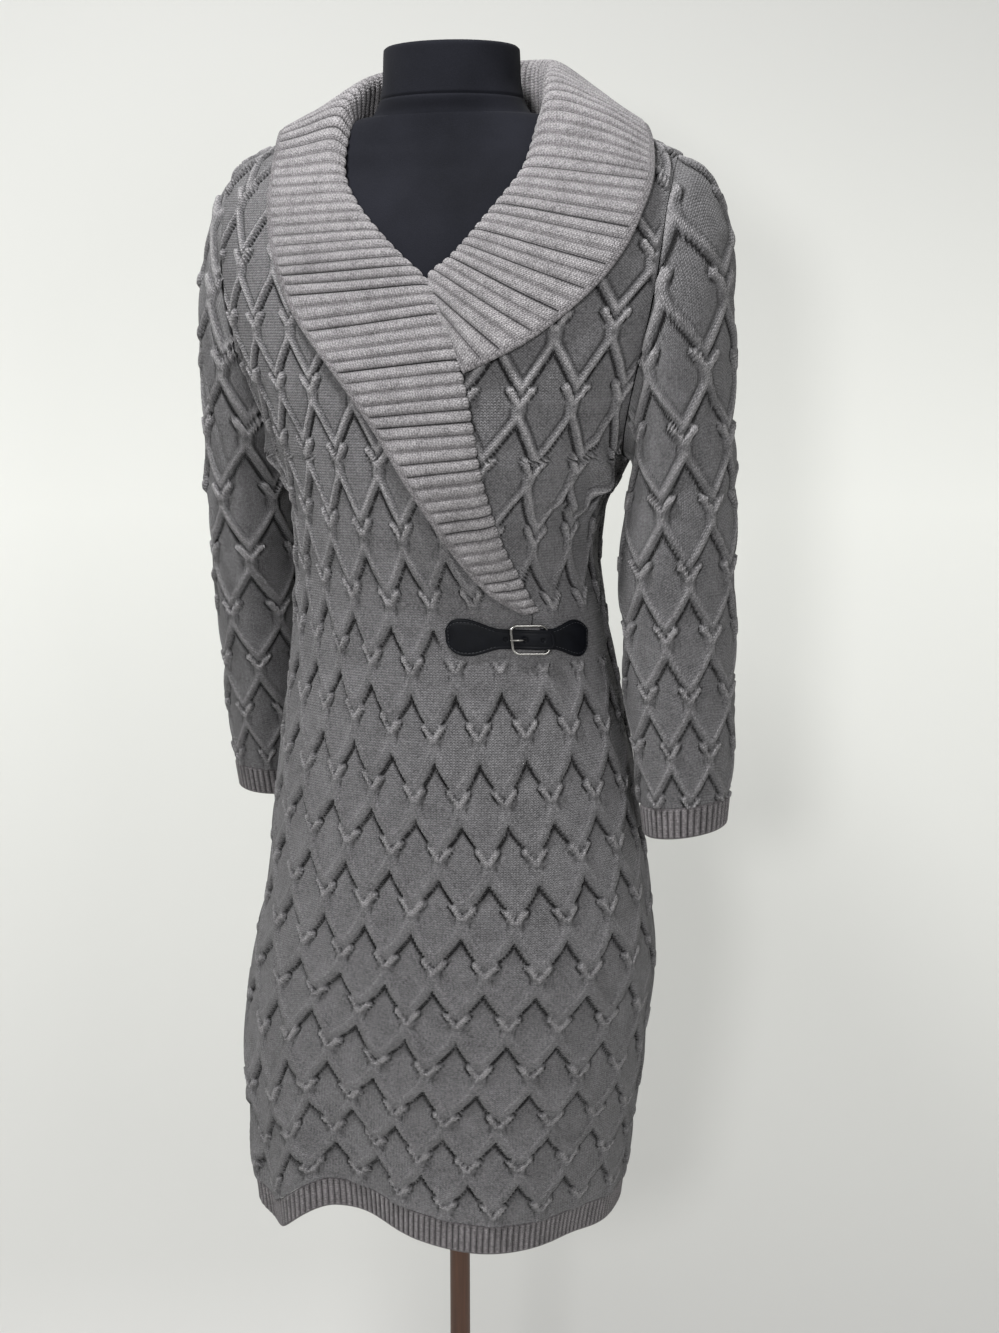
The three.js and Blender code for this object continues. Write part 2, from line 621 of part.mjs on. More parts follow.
// The buckle frame: a rounded rectangle of wire, bent to the body.
function wireLoop(count, radius) {
  const corner = 5;
  const path = [];
  const corners = [[1, 1, 0], [-1, 1, 90], [-1, -1, 180], [1, -1, 270]];
  for (const [su, sv, start] of corners) {
    for (let k = 0; k <= 3; k++) {
      const turn = rad(start + 30 * k);
      path.push([su * (FRAME_HALF_U - radius - corner) + corner * Math.cos(turn),
        sv * (FRAME_HALF_V - radius - corner) + corner * Math.sin(turn)]);
    }
  }
  const middle = FRAME_LIFT + radius;
  return path.map(([u, v], i) => {
    const [pu, pv] = path[(i + path.length - 1) % path.length];
    const [nu, nv] = path[(i + 1) % path.length];
    const along = new THREE.Vector2(nu - pu, nv - pv).normalize();
    return Array.from({ length: count }, (_, k) => {
      const turn = (2 * Math.PI * k) / count;
      const side = radius * Math.cos(turn);
      return tabPoint(u + along.y * side, v - along.x * side, middle + radius * Math.sin(turn));
    });
  });
}
function loopSolid(rings) {
  const cols = rings[0].length;
  const faces = [];
  rings.forEach((ring, r) => {
    for (let c = 0; c < cols; c++) {
      const a = r * cols + c;
      const b = r * cols + ((c + 1) % cols);
      const a2 = ((r + 1) % rings.length) * cols + c;
      const b2 = ((r + 1) % rings.length) * cols + ((c + 1) % cols);
      faces.push(a, b2, b, a, a2, b2);
    }
  });
  return geometryOf(rings.flat(), faces);
}
add('buckle_frame', loopSolid(wireLoop(8, FRAME_WIRE / 2)), nickel());

// The prong: from the +X bar under the strap, up through its hole and onto the -X bar.
const PRONG_PATH = [
  // u, w
  [11.3, 3.4], [9.5, 3.1], [6, 1.3], [1, 1.2], [-1.9, 1.25], [-4.1, 3.1], [-6.2, 5.1], [-10, 6.3],
  [-14, 6.4], [-16, 6.4],
];
const PRONG_RADIUS = 0.8;
const prongRings = PRONG_PATH.map(([u, w], i) => {
  const [pu, pw] = PRONG_PATH[Math.max(i - 1, 0)];
  const [nu, nw] = PRONG_PATH[Math.min(i + 1, PRONG_PATH.length - 1)];
  const along = new THREE.Vector2(nu - pu, nw - pw).normalize();
  return Array.from({ length: 8 }, (_, k) => {
    const turn = (2 * Math.PI * k) / 8;
    const lift = PRONG_RADIUS * Math.cos(turn);
    return tabPoint(u - along.y * lift, PRONG_RADIUS * Math.sin(turn), w + along.x * lift);
  });
});
add('buckle_prong', ringSolid(prongRings.reverse()), nickel());

// ---- dress form and stand ---------------------------------------------------------------------------
const FORM_FOOT = 705;        // the form's underside, inside the skirt
const FORM_TOP = 1443;
const ARM_PLATE = 176;        // the flat end where an arm would start
const POLE_RADIUS = 9;
const BASE_RADIUS = 190;
const BASE_THICK = 22;

// Room between the cloth's outer face and the form.
const FORM_INSET = [
  // z, inset
  [705, 30], [735, 24], [800, 14], [860, 9], [930, 6.5], [1050, 5], [1150, 4.8], [1400, 4.8],
  [1416, 3.8], [1446, 3.6],
];
const FORM_ANGLES = [...steps(-90, 90, FRONT_COLUMNS), ...steps(90, 270, BACK_COLUMNS).slice(1, -1)];
const formRing = (z) => FORM_ANGLES.map((angle) => {
  const p = bodyPoint(angle, z).addScaledVector(bodyNormal(angle, z), -column(FORM_INSET, 1, z));
  p.x = clamp(p.x, -ARM_PLATE, ARM_PLATE);
  if (z === NECK_TOP_ROW) p.z = FORM_TOP;
  if (z === FORM_FOOT) p.z = FORM_FOOT;
  return p;
});
const FORM_ROWS = [...steps(FORM_FOOT, SKIRT_TOP, 8), ...WAIST_ROWS, ...steps(UNDERARM, 1400, 8), SHOULDER, ...YOKE_ROWS];
add('form_torso', ringSolid(FORM_ROWS.map(formRing)), jersey());

// The neck block: a short column that spreads to the shoulders.
const NECK_BLOCK = [
  // z, half, front, back
  [FORM_TOP + SEAM, 70, 44, 50],
  [1446, 66, 44, 50],
  [1456, 60, 46, 50],
  [1472, 56.5, 46, 50],
  [1494, 55.5, 46, 50],
  [1498, 55, 45, 49],
];
const NECK_SHIFT = -3;
const NECK_SIDES = 36;
const neckRing = ([z, half, front, back]) => Array.from({ length: NECK_SIDES }, (_, i) => {
  const turn = (2 * Math.PI * i) / NECK_SIDES;
  const depth = Math.cos(turn) > 0 ? front : back;
  return new THREE.Vector3(NECK_SHIFT + half * Math.sin(turn), -depth * Math.cos(turn), z);
});
add('form_neck', ringSolid(NECK_BLOCK.map(neckRing)), jersey());

const pole = new THREE.CylinderGeometry(POLE_RADIUS, POLE_RADIUS, FORM_FOOT - BASE_THICK - 2 * SEAM, 24);
pole.rotateX(Math.PI / 2);
pole.translate(0, 0, (FORM_FOOT + BASE_THICK) / 2);
add('pole', pole, wood());

const base = new THREE.LatheGeometry([
  new THREE.Vector2(0, 0), new THREE.Vector2(BASE_RADIUS, 0), new THREE.Vector2(BASE_RADIUS, BASE_THICK - 6),
  new THREE.Vector2(BASE_RADIUS - 6, BASE_THICK), new THREE.Vector2(0, BASE_THICK),
], 48);
base.rotateX(Math.PI / 2);
add('base', base, wood());

export default dress;
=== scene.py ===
import math

import bpy
import numpy as np
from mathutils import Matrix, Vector


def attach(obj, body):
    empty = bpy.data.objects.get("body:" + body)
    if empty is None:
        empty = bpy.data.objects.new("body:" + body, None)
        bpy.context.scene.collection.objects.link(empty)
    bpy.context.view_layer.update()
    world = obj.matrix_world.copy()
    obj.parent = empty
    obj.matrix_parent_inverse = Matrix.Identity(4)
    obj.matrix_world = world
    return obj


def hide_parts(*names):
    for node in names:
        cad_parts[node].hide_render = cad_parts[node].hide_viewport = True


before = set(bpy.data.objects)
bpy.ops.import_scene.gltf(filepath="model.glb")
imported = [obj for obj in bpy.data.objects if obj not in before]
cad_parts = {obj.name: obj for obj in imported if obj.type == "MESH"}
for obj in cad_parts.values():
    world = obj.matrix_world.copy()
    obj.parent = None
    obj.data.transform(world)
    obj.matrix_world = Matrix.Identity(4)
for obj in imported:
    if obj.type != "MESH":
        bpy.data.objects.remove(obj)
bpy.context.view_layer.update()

# ---- base and pole ---------------------------------------------------------------------------
# The stand is a round foot of stained beech with a softened rim, and a turned pole that is
# pushed into its middle. Both are lacquered, so they have a soft shine over straight grain.
# Lengths are in millimetres here and below, and become metres when a mesh is made.
MM = 0.001
BASE_RADIUS = 190
BASE_THICK = 22
BASE_ROUND = 6
BASE_FOOT_ROUND = 1.5
POLE_RADIUS = 9
POLE_TOP = 704.7
STAIN_DARK = "#38231a"
STAIN_LIGHT = "#63422f"
GRAIN_WIDTH = 2.4
GRAIN_LONG = 22              # how many times longer than wide its marks are


def linear(code):
    """A colour written as sRGB hex, as the renderer wants it."""
    values = [int(code[i:i + 2], 16) / 255 for i in (1, 3, 5)]
    return [v / 12.92 if v <= 0.04045 else ((v + 0.055) / 1.055) ** 2.4 for v in values] + [1]


def add_node(tree, kind, settings, links):
    """A node with its settings, and its inputs as values or as sockets to link from. A node stands
    for its own first socket."""
    node = tree.nodes.new(kind)
    for name, value in settings.items():
        setattr(node, name, value)
    for socket, value in links.items():
        if isinstance(value, bpy.types.Node):
            value = value.outputs[0]
        if isinstance(value, bpy.types.NodeSocket):
            tree.links.new(value, node.inputs[socket])
        else:
            node.inputs[socket].default_value = value
    return node


def new_finish(name):
    finish = bpy.data.materials.new(name)
    finish.use_nodes = True
    finish.node_tree.nodes.clear()
    return finish, finish.node_tree


def ring_faces(rings, closed=False):
    """Points and faces of a stack of rings, capped at both ends unless it closes on itself."""
    rows, cols = rings.shape[:2]
    row = np.arange(rows if closed else rows - 1)[:, None] * cols
    above = (row + cols) % (rows * cols)
    col = np.arange(cols)[None, :]
    after = (col + 1) % cols
    quads = np.stack([row + col, row + after, above + after, above + col], -1).reshape(-1, 4)
    points = rings.reshape(-1, 3)
    if closed:
        return points, quads, np.zeros((0, 3), int)
    points = np.vstack([points, rings[0].mean(0), rings[-1].mean(0)])
    col, after = col.ravel(), after.ravel()
    last = (rows - 1) * cols
    foot = np.stack([np.full(cols, rows * cols), after, col], -1)
    top = np.stack([np.full(cols, rows * cols + 1), last + col, last + after], -1)
    return points, quads, np.vstack([foot, top])


def make_piece(name, shape, finish, uv=None, marks=None, sharp=65):
    """A mesh object from points in millimetres, with its faces turned outwards."""
    points, quads, tris = shape
    corners = np.concatenate([quads.ravel(), tris.ravel()]).astype(np.int32)
    fans = np.vstack([quads[:, [0, 1, 2]], quads[:, [0, 2, 3]], tris])
    a, b, c = (points[fans[:, k]] for k in range(3))
    inside_out = np.einsum("ij,ij->", a, np.cross(b, c)) < 0
    totals = np.concatenate([np.full(len(quads), 4), np.full(len(tris), 3)]).astype(np.int32)
    starts = np.concatenate([[0], np.cumsum(totals)[:-1]]).astype(np.int32)
    mesh = bpy.data.meshes.new(name)
    mesh.vertices.add(len(points))
    mesh.vertices.foreach_set("co", (points * MM).astype(np.float32).ravel())
    mesh.loops.add(len(corners))
    mesh.loops.foreach_set("vertex_index", corners)
    mesh.polygons.add(len(totals))
    mesh.polygons.foreach_set("loop_start", starts)
    mesh.update(calc_edges=True)
    if inside_out:
        mesh.flip_normals()
    mesh.validate()
    if uv is not None:
        order = np.empty(len(mesh.loops), np.int32)
        mesh.loops.foreach_get("vertex_index", order)
        layer = mesh.uv_layers.new(name="knit")
        layer.data.foreach_set("uv", (uv[order] * MM).astype(np.float32).ravel())
    for label, values in (marks or {}).items():
        mark = mesh.attributes.new(label, "FLOAT", "POINT")
        mark.data.foreach_set("value", values.astype(np.float32))
    mesh.shade_smooth()
    mesh.set_sharp_from_angle(angle=math.radians(sharp))
    piece = bpy.data.objects.new(name, mesh)
    bpy.context.scene.collection.objects.link(piece)
    mesh.materials.append(finish)
    return piece


def stands_for(piece, node):
    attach(piece, "root")
    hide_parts(node)


def turned(profile, sides):
    """Rings of a turned solid from its radii and heights."""
    turn = np.linspace(0, 2 * np.pi, sides, endpoint=False)
    return np.array([[(r * np.sin(t), -r * np.cos(t), z) for t in turn] for r, z in profile])


# Stained beech: straight fine grain, felt through a satin lacquer.
def stained_beech(name, along):
    finish, tree = new_finish(name)
    place = add_node(tree, "ShaderNodeTexCoord", {}, {})
    stretch = [1 / (GRAIN_WIDTH * MM)] * 3
    stretch[along] /= GRAIN_LONG
    scaled = add_node(tree, "ShaderNodeMapping", {}, {0: place.outputs["Object"], "Scale": stretch})
    grain = add_node(tree, "ShaderNodeTexNoise", {}, {"Vector": scaled, "Scale": 1, "Detail": 5})
    ramp = add_node(tree, "ShaderNodeMix", {"data_type": "RGBA"}, {0: grain,
                    6: linear(STAIN_DARK), 7: linear(STAIN_LIGHT)})
    bump = add_node(tree, "ShaderNodeBump", {}, {"Height": grain, "Strength": 0.25, "Distance": 0.0004})
    shine = add_node(tree, "ShaderNodeMapRange", {}, {"Value": grain, "To Min": 0.38, "To Max": 0.55})
    skin = add_node(tree, "ShaderNodeBsdfPrincipled", {}, {"Base Color": ramp.outputs[2],
                    "Roughness": shine, "Normal": bump})
    add_node(tree, "ShaderNodeOutputMaterial", {}, {0: skin})
    return finish


rim = [(BASE_RADIUS - BASE_ROUND * (1 - math.sin(t)), BASE_THICK - BASE_ROUND * (1 - math.cos(t)))
       for t in np.linspace(math.pi / 2, 0, 7)]
base_profile = [(20, 0), (BASE_RADIUS - BASE_FOOT_ROUND, 0), (BASE_RADIUS, BASE_FOOT_ROUND), *rim,
                (150, BASE_THICK), (60, BASE_THICK), (12, BASE_THICK)]
base = make_piece("round_base", ring_faces(turned(base_profile, 128)), stained_beech("stained_beech_disc", 0))
stands_for(base, "base")
pole_profile = [(POLE_RADIUS, z) for z in np.linspace(BASE_THICK + 0.3, POLE_TOP, 24)]
pole = make_piece("stand_pole", ring_faces(turned(pole_profile, 48)), stained_beech("stained_beech_pole", 2))
stands_for(pole, "pole")

# ---- dress form: torso ---------------------------------------------------------------------------
# A limbless torso of moulded foam under a close black cotton jersey, flat at the arm plates.
# It fills the dress from the neck down to its foot inside the skirt, and stands on the pole.
HEM_LOW = 517
NECK_TOP = 1446
FORM_FOOT = 705
FORM_TOP = 1443
FORM_SHOULDER = 1400
BODY_TOP = 1453
ARM_PLATE = 176
JERSEY_DARK = "#101116"
JERSEY_LIGHT = "#212229"
JERSEY_PITCH = 0.9

# Sections of the worn body: height, half width, front and back depth, sideways shift, squareness.
BODY = [
    [480, 155, 116, 120, -18, 2.05], [517, 157, 118, 121, -17, 2.05], [560, 164, 118, 122, -17, 2.1],
    [610, 171, 117, 122, -17, 2.1], [665, 177, 118, 123, -14, 2.1], [735, 176, 119, 125, -6, 2.15],
    [800, 167, 116, 125, -1, 2.2], [860, 160, 111, 121, -2, 2.2], [930, 150, 106, 112, -3, 2.2],
    [970, 144, 103, 105, -4, 2.2], [1010, 137, 101, 99, -5, 2.2], [1050, 131, 103, 96, -6, 2.2],
    [1090, 127, 110, 96, -8, 2.25], [1130, 129, 120, 100, -6, 2.3], [1175, 145, 127, 107, -1, 2.4],
    [1230, 168, 126, 113, 0, 2.5], [1260, 180, 122, 114, 0, 2.6], [1290, 191, 116, 112, 0, 2.6],
    [1320, 199, 108, 108, 0, 2.6], [1350, 202, 97, 101, 0, 2.6], [1380, 200, 82, 90, 0, 2.6],
    [1400, 193, 69, 78, 0, 2.5], [1412, 183, 62, 70, 0, 2.4], [1424, 154, 56, 64, 0, 2.3],
    [1438, 108, 52, 59, 0, 2.2], [1453, 62, 50, 56, -2, 2.1],
]
# Room between the dress's outer face and the form: height, inset.
FORM_INSET = [[705, 30], [735, 24], [800, 14], [860, 9], [930, 6.5], [1050, 5], [1150, 4.8], [1400, 4.8],
              [1416, 3.8], [1446, 3.6]]


def smooth(a, b, x):
    t = np.clip((np.asarray(x, float) - a) / (b - a), 0, 1)
    return t * t * (3 - 2 * t)


def read_rows(rows, at):
    """Columns of a table at a height, on a smooth curve that never overshoots its rows."""
    rows = np.array(rows, float)
    x, y = rows[:, 0], rows[:, 1:]
    rise = np.diff(y, axis=0) / np.diff(x)[:, None]
    slope = np.vstack([rise[:1], np.zeros_like(rise[1:]), rise[-1:]])
    same = rise[:-1] * rise[1:] > 0
    slope[1:-1] = np.where(same, 2 * rise[:-1] * rise[1:] / np.where(same, rise[:-1] + rise[1:], 1), 0)
    at = np.asarray(at, float)
    i = np.clip(np.searchsorted(x, at, side="right") - 1, 0, len(x) - 2)
    h = (x[i + 1] - x[i])[..., None]
    t = np.clip((at - x[i])[..., None] / h, 0, 1)
    return ((2 * t ** 3 - 3 * t ** 2 + 1) * y[i] + (t ** 3 - 2 * t ** 2 + t) * h * slope[i]
            + (3 * t ** 2 - 2 * t ** 3) * y[i + 1] + (t ** 3 - t ** 2) * h * slope[i + 1])


def body_point(angle, z):
    """The smooth worn body; the angle is 0 at the front centre and 90 at the +X side."""
    angle, z = np.broadcast_arrays(np.asarray(angle, float), np.asarray(z, float))
    half, front, back, shift, square = np.moveaxis(read_rows(BODY, z), -1, 0)
    s, c = np.sin(np.radians(angle)), np.cos(np.radians(angle))
    x = shift + half * np.sign(s) * np.abs(s) ** (2 / square)
    y = -np.where(c > 0, front, back) * np.sign(c) * np.abs(c) ** (2 / square)
    return np.stack([x, y, z], -1)


def body_normal(angle, z):
    around = body_point(angle + 0.2, z) - body_point(angle - 0.2, z)
    up = body_point(angle, np.minimum(z + 0.5, BODY_TOP)) - body_point(angle, z - 0.5)
    out = np.cross(around, up)
    return out / np.linalg.norm(out, axis=-1, keepdims=True)


# Cotton jersey: a fine knitted surface that dulls the black, a little uneven in tone.
def cotton_jersey(name):
    finish, tree = new_finish(name)
    place = add_node(tree, "ShaderNodeTexCoord", {}, {})
    fine = add_node(tree, "ShaderNodeTexNoise", {}, {"Vector": place.outputs["Object"],
                    "Scale": 1 / (JERSEY_PITCH * MM), "Detail": 2})
    broad = add_node(tree, "ShaderNodeTexNoise", {}, {"Vector": place.outputs["Object"], "Scale": 14,
                     "Detail": 3})
    both = add_node(tree, "ShaderNodeMath", {"operation": "MULTIPLY_ADD"}, {0: fine, 1: 0.5,
                    2: broad})
    tone = add_node(tree, "ShaderNodeMapRange", {}, {"Value": both, "From Min": 0.45, "From Max": 1.05})
    colour = add_node(tree, "ShaderNodeMix", {"data_type": "RGBA"}, {0: tone,
                      6: linear(JERSEY_DARK), 7: linear(JERSEY_LIGHT)})
    bump = add_node(tree, "ShaderNodeBump", {}, {"Height": fine, "Strength": 0.5, "Distance": 0.0003})
    skin = add_node(tree, "ShaderNodeBsdfPrincipled", {}, {"Base Color": colour.outputs[2], "Roughness": 0.9,
                    "Specular IOR Level": 0.12, "Sheen Weight": 0.03, "Normal": bump})
    add_node(tree, "ShaderNodeOutputMaterial", {}, {0: skin})
    return finish


jersey = cotton_jersey("black_cotton_jersey")
form_z = np.concatenate([np.linspace(FORM_FOOT, FORM_SHOULDER, 100),
                         np.linspace(FORM_SHOULDER + 2, NECK_TOP, 30)])[:, None]
form_angle = np.linspace(0, 360, 180, endpoint=False)[None, :]
form_skin = body_point(form_angle, form_z) - body_normal(form_angle, form_z) * read_rows(FORM_INSET, form_z)
form_skin[..., 0] = np.clip(form_skin[..., 0], -ARM_PLATE, ARM_PLATE)
form_skin[0, :, 2] = FORM_FOOT
form_skin[:, :, 2] = np.minimum(form_skin[:, :, 2], FORM_TOP)
torso = make_piece("form_torso_cover", ring_faces(form_skin), jersey, sharp=50)
stands_for(torso, "form_torso")

# ---- dress form: neck ------------------------------------------------------------------------------
# The neck block is capped flat and covered in the same jersey. A band of it is sewn round the
# neck's foot, where a shallow seam shows.
NECK_BLOCK = [[1443.3, 70, 44, 50], [1446, 66, 44, 50], [1456, 60, 46, 50], [1472, 56.5, 46, 50],
              [1494, 55.5, 46, 50], [1498, 55, 45, 49]]
NECK_FOOT = 1443.3
NECK_CAP = 1498
NECK_SHIFT = -3
NECK_SEAM = 1458
NECK_SEAM_DEEP = 1.1
NECK_SEAM_WIDE = 0.9
NECK_CAP_ROUND = 1.5

neck_turn = np.radians(np.linspace(0, 360, 144, endpoint=False))[None, :]
neck_z = np.concatenate([np.linspace(NECK_FOOT, 1496.5, 60), [1497.2, 1497.7, NECK_CAP]])[:, None]
neck_half, neck_front, neck_back = np.moveaxis(read_rows(NECK_BLOCK, neck_z), -1, 0)
neck_groove = NECK_SEAM_DEEP * np.exp(-((neck_z - NECK_SEAM) / NECK_SEAM_WIDE) ** 2)
neck_in = NECK_CAP_ROUND * smooth(1496, NECK_CAP, neck_z) ** 2 + neck_groove
neck_depth = np.where(np.cos(neck_turn) > 0, neck_front, neck_back) - neck_in
neck_rings = np.stack([NECK_SHIFT + (neck_half - neck_in) * np.sin(neck_turn),
                       -neck_depth * np.cos(neck_turn), neck_z + 0 * neck_turn], -1)
neck = make_piece("form_neck_cover", ring_faces(neck_rings), jersey, sharp=50)
stands_for(neck, "form_neck")

# ---- wrapped front -------------------------------------------------------------------------------------
# The skirt's whole front and the -X bodice in one knitted piece, in heathered grey wool blend.
# Cables cross it in a lattice of diamonds; it is sewn to the back at the sides and shoulders.
WALL = 3
SEAM = 0.3
HEM_SEAM = 543
HIP = 735
SWING_FROM = 840             # below this height the hem's swing begins
WRAP_FOOT = 1046
UNDERARM = 1175
SHOULDER = 1411
ARMHOLE_DEPTH = 62
UNDERLAP = 26
WRAP_LIFT = 3.6
COLLAR_OVER = 3
PANEL_COLUMN = 2.05          # spacing of the fine mesh, across and up
PANEL_ROW = 2.75
CABLE_COLUMNS = 11           # diamonds across each half of the body
CABLE_OFFSET = 0.5           # where the even rows start, from the front centre
ROPES_FROM = (1010, 1200)    # between these heights the scales turn into ropes
CABLE_WIDE = 40              # one diamond as charted, across and up
CABLE_HIGH = 52
CABLE_RAISED = 2.2
CABLE_GROOVE = 1.7
GROUND_LOW = -1.5            # the knitting's height just under a crossing, and its rise to the V below
GROUND_RISE = 2.7
GROUND_RUN = 77.5            # from that V up to the crossing above it
SCALE_BULGE = 1.6
STEM_TOP = 45                # above a crossing: where its cables leave the stems, and where they meet
VEE_HIGH = 11.5
EAR_OUT = 7.8
EAR_UP = 11.5
BUST_ROW = 1300              # above this height the rows are counted along the knitting
BODICE_ROW = 54
WAIST_LEAN = 0.14            # the lattice at the -X waist: how far it leans, and how far its rows climb
WAIST_CLIMB = 0.11
# The groove colour is painted shade, and the ridge colour is a painted highlight on what stands up.
YARN_GROOVE_SHADE = "#1c1b1d"
YARN_GROUND = "#6e6d6f"
YARN_RIDGE_HIGHLIGHT = "#9b999b"
STITCH_WIDE = 2.6            # real stitches are about 2.3 x 1.7; these are a little coarser, to show
STITCH_HIGH = 2.1
FIBRES_A_METRE = 620         # flecks of 1.6 mm; real ones are finer, and wouldn't show
PATCHES_A_METRE = 60

# The skirt's soft vertical folds: angle, angular width, how far each stands out, where it dies away.
SKIRT_FOLDS = [
    [-64, 8, 13, 800], [-38, 13, 12, 760], [-12, 13, -15, 720], [28, 19, 11, 700], [62, 12, -6, 700],
    [-80, 7, -9, 720], [110, 14, 7, 740], [140, 14, -8, 700], [172, 16, 9, 760], [-158, 13, -7, 700],
    [-130, 15, 10, 770], [-100, 10, -5, 720],
]
# How far the hem is carried up as the skirt swings: angle, rise.
HEM_RISE = [[-180, 18], [-130, 38], [-98, 60], [-78, 52], [-62, -4], [-50, -12], [-22, 26], [6, 12], [28, 6],
            [62, 4], [90, 2], [130, 6], [180, 18]]
# Where the collar rolls on the wrapped front: height, x.
ROLL_LEFT = [
    [1053, 90], [1070, 81], [1088, 74], [1110, 66], [1137, 60], [1167, 55], [1203, 50], [1231, 45],
    [1252, 39], [1272, 31], [1292, 22], [1310, 12], [1320, 0], [1339, -22], [1363, -47], [1383, -64],
    [1399, -72], [1415, -75], [1432, -77], [1450, -77],
]
# Rows of cable crossings up the body: height, row number.
CABLE_ROWS = [[480, -2.9], [590, 0], [628, 1], [670, 2], [715, 3], [760, 4], [808, 5], [856, 6], [903, 7],
              [955, 8], [1008, 9], [1060, 10], [1113, 11], [1167, 12], [1221, 13], [1275, 14], [1300, 14.46]]
CREASE_ROOM = 1.4            # how far a crease may go in before the knitting lies on the form
DEGREE_WIDE = 2.6            # one degree round the body, on average
# Creases of the worn dress: angle, height, lean, length, width and how far it stands out.
CREASES = [
    [-76, 1176, 20, 24, 13, 11], [-66, 1146, 66, 34, 8, -8], [-78, 1128, 40, 26, 8, 5],
    [-56, 1206, 50, 40, 9, -5], [-70, 1104, 60, 40, 9, -4], [70, 1172, -50, 26, 7, 9],
    [60, 1162, -74, 36, 6, -7], [76, 1150, -20, 22, 7, 8], [62, 1142, -84, 34, 6, 6],
    [66, 1124, -60, 34, 7, -6], [56, 1186, -40, 38, 8, -5], [-50, 1080, 74, 40, 9, -2],
    [-66, 1058, 80, 34, 8, 2.5], [62, 1078, -76, 36, 9, -2.5], [70, 1040, -82, 30, 8, 2.5],
    [-30, 1008, 82, 44, 10, -1.8], [12, 985, 86, 46, 9, -1.6], [40, 1000, -80, 40, 9, 1.8],
    [118, 1180, 40, 34, 9, 4], [126, 1150, 56, 32, 8, -3.5], [-118, 1184, -40, 36, 9, 4],
    [-128, 1146, -58, 34, 8, -3.5], [150, 1060, 84, 52, 9, -3], [-152, 1038, -84, 56, 10, 3],
    [168, 1012, 88, 60, 9, 2.5], [-170, 1086, 86, 48, 9, -2.5],
]


def wrap_turn(angle):
    return (np.asarray(angle, float) + 540) % 360 - 180


def angle_of_x(x, z):
    """The angle at which the front passes through x at height z."""
    half, _, _, shift, square = np.moveaxis(read_rows(BODY, z), -1, 0)
    across = np.clip((x - shift) / half, -1, 1)
    return np.degrees(np.arcsin(np.sign(across) * np.abs(across) ** (square / 2)))


def fold_out(angle, z):
    out = 0
    for centre, width, depth, top in SKIRT_FOLDS:
        out = out + depth * np.exp(-(wrap_turn(angle - centre) / width) ** 2) * smooth(top, HEM_LOW - 60, z)
    crease = 0
    for centre, height, lean, length, width, depth in CREASES:
        across = wrap_turn(angle - centre) * DEGREE_WIDE
        up = z - height
        turn = math.radians(lean)
        along = up * math.cos(turn) + across * math.sin(turn)
        beside = across * math.cos(turn) - up * math.sin(turn)
        crease = crease + depth * np.exp(-(along / length) ** 2 - (beside / width) ** 2)
    return out + np.maximum(crease, -CREASE_ROOM)


def cloth_point(angle, z, out):
    """A point of the cloth, moved out along the surface, with the skirt's folds and swing."""
    p = body_point(angle, z) + body_normal(angle, z) * (out + fold_out(angle, z))[..., None]
    p[..., 2] += smooth(SWING_FROM, HEM_LOW, z) * read_rows(HEM_RISE, wrap_turn(angle))[..., 0]
    return p


def armhole_half(z):
    t = np.clip((z - (UNDERARM + SHOULDER) / 2) / ((SHOULDER - UNDERARM) / 2), -1, 1)
    return ARMHOLE_DEPTH * np.sqrt(1 - t * t)


def side_angle(z, is_front):
    """From the front or back centre to the side seam, armhole or shoulder seam."""
    z = np.asarray(z, float)
    table = read_rows(BODY, z)
    square = table[..., 4]
    share = armhole_half(z) / table[..., 1 if is_front else 2]
    cut = np.degrees(np.arccos(np.clip(share ** (square / 2), 0, 1)))
    return np.where((z <= UNDERARM) | (z >= SHOULDER), 90, cut)


def seam_angle(z):
    return np.degrees(SEAM / 2 / read_rows(BODY, z)[..., 1])


def wrap_edge(z):
    return read_rows(ROLL_LEFT, np.maximum(z, ROLL_LEFT[0][0]))[..., 0] - COLLAR_OVER


def under_reach(z):
    return (UNDERLAP + 1) * smooth(WRAP_FOOT + 16, 1104, z) - 1


def wrap_lift(angle, z):
    """How far the wrapped front stands over the under front."""
    edge = wrap_edge(z) - under_reach(z)
    x = body_point(angle, z)[..., 0]
    rise = smooth(WRAP_FOOT + 1, 1062, z) * (1 - smooth(1321, 1343, z))
    return WRAP_LIFT * rise * smooth(0, 24, x - (edge - 44))


def distance_along(points):
    """How far each point of a path lies from its start."""
    run = np.linalg.norm(np.diff(points, axis=0), axis=1)
    return np.concatenate([[0], np.cumsum(run)])


def panel_heights(low, high, spacing):
    """Row heights evenly spaced along the knitting; the count is even."""
    z = np.linspace(low, high, 1500)
    run = distance_along(body_point(55.0, z))
    count = 2 * round(run[-1] / spacing / 2)
    return np.interp(np.linspace(0, run[-1], count + 1), run, z)


def arc_table(z, middle):
    """Angles round half the body at one height, and the distance along it from the middle."""
    angles = middle + np.linspace(-90, 90, 721)
    run = distance_along(body_point(angles, z))
    return angles, run - run[-1] / 2, run[-1]


def panel_row(z, start, end, columns, middle):
    """Evenly spaced angles between two edges, with the cable column of each."""
    angles, run, whole = arc_table(z, middle)
    reach = np.interp([start, end], angles, run)
    places = np.linspace(reach[0], reach[1], columns + 1)
    return np.interp(places, run, angles), places, places / whole * CABLE_COLUMNS


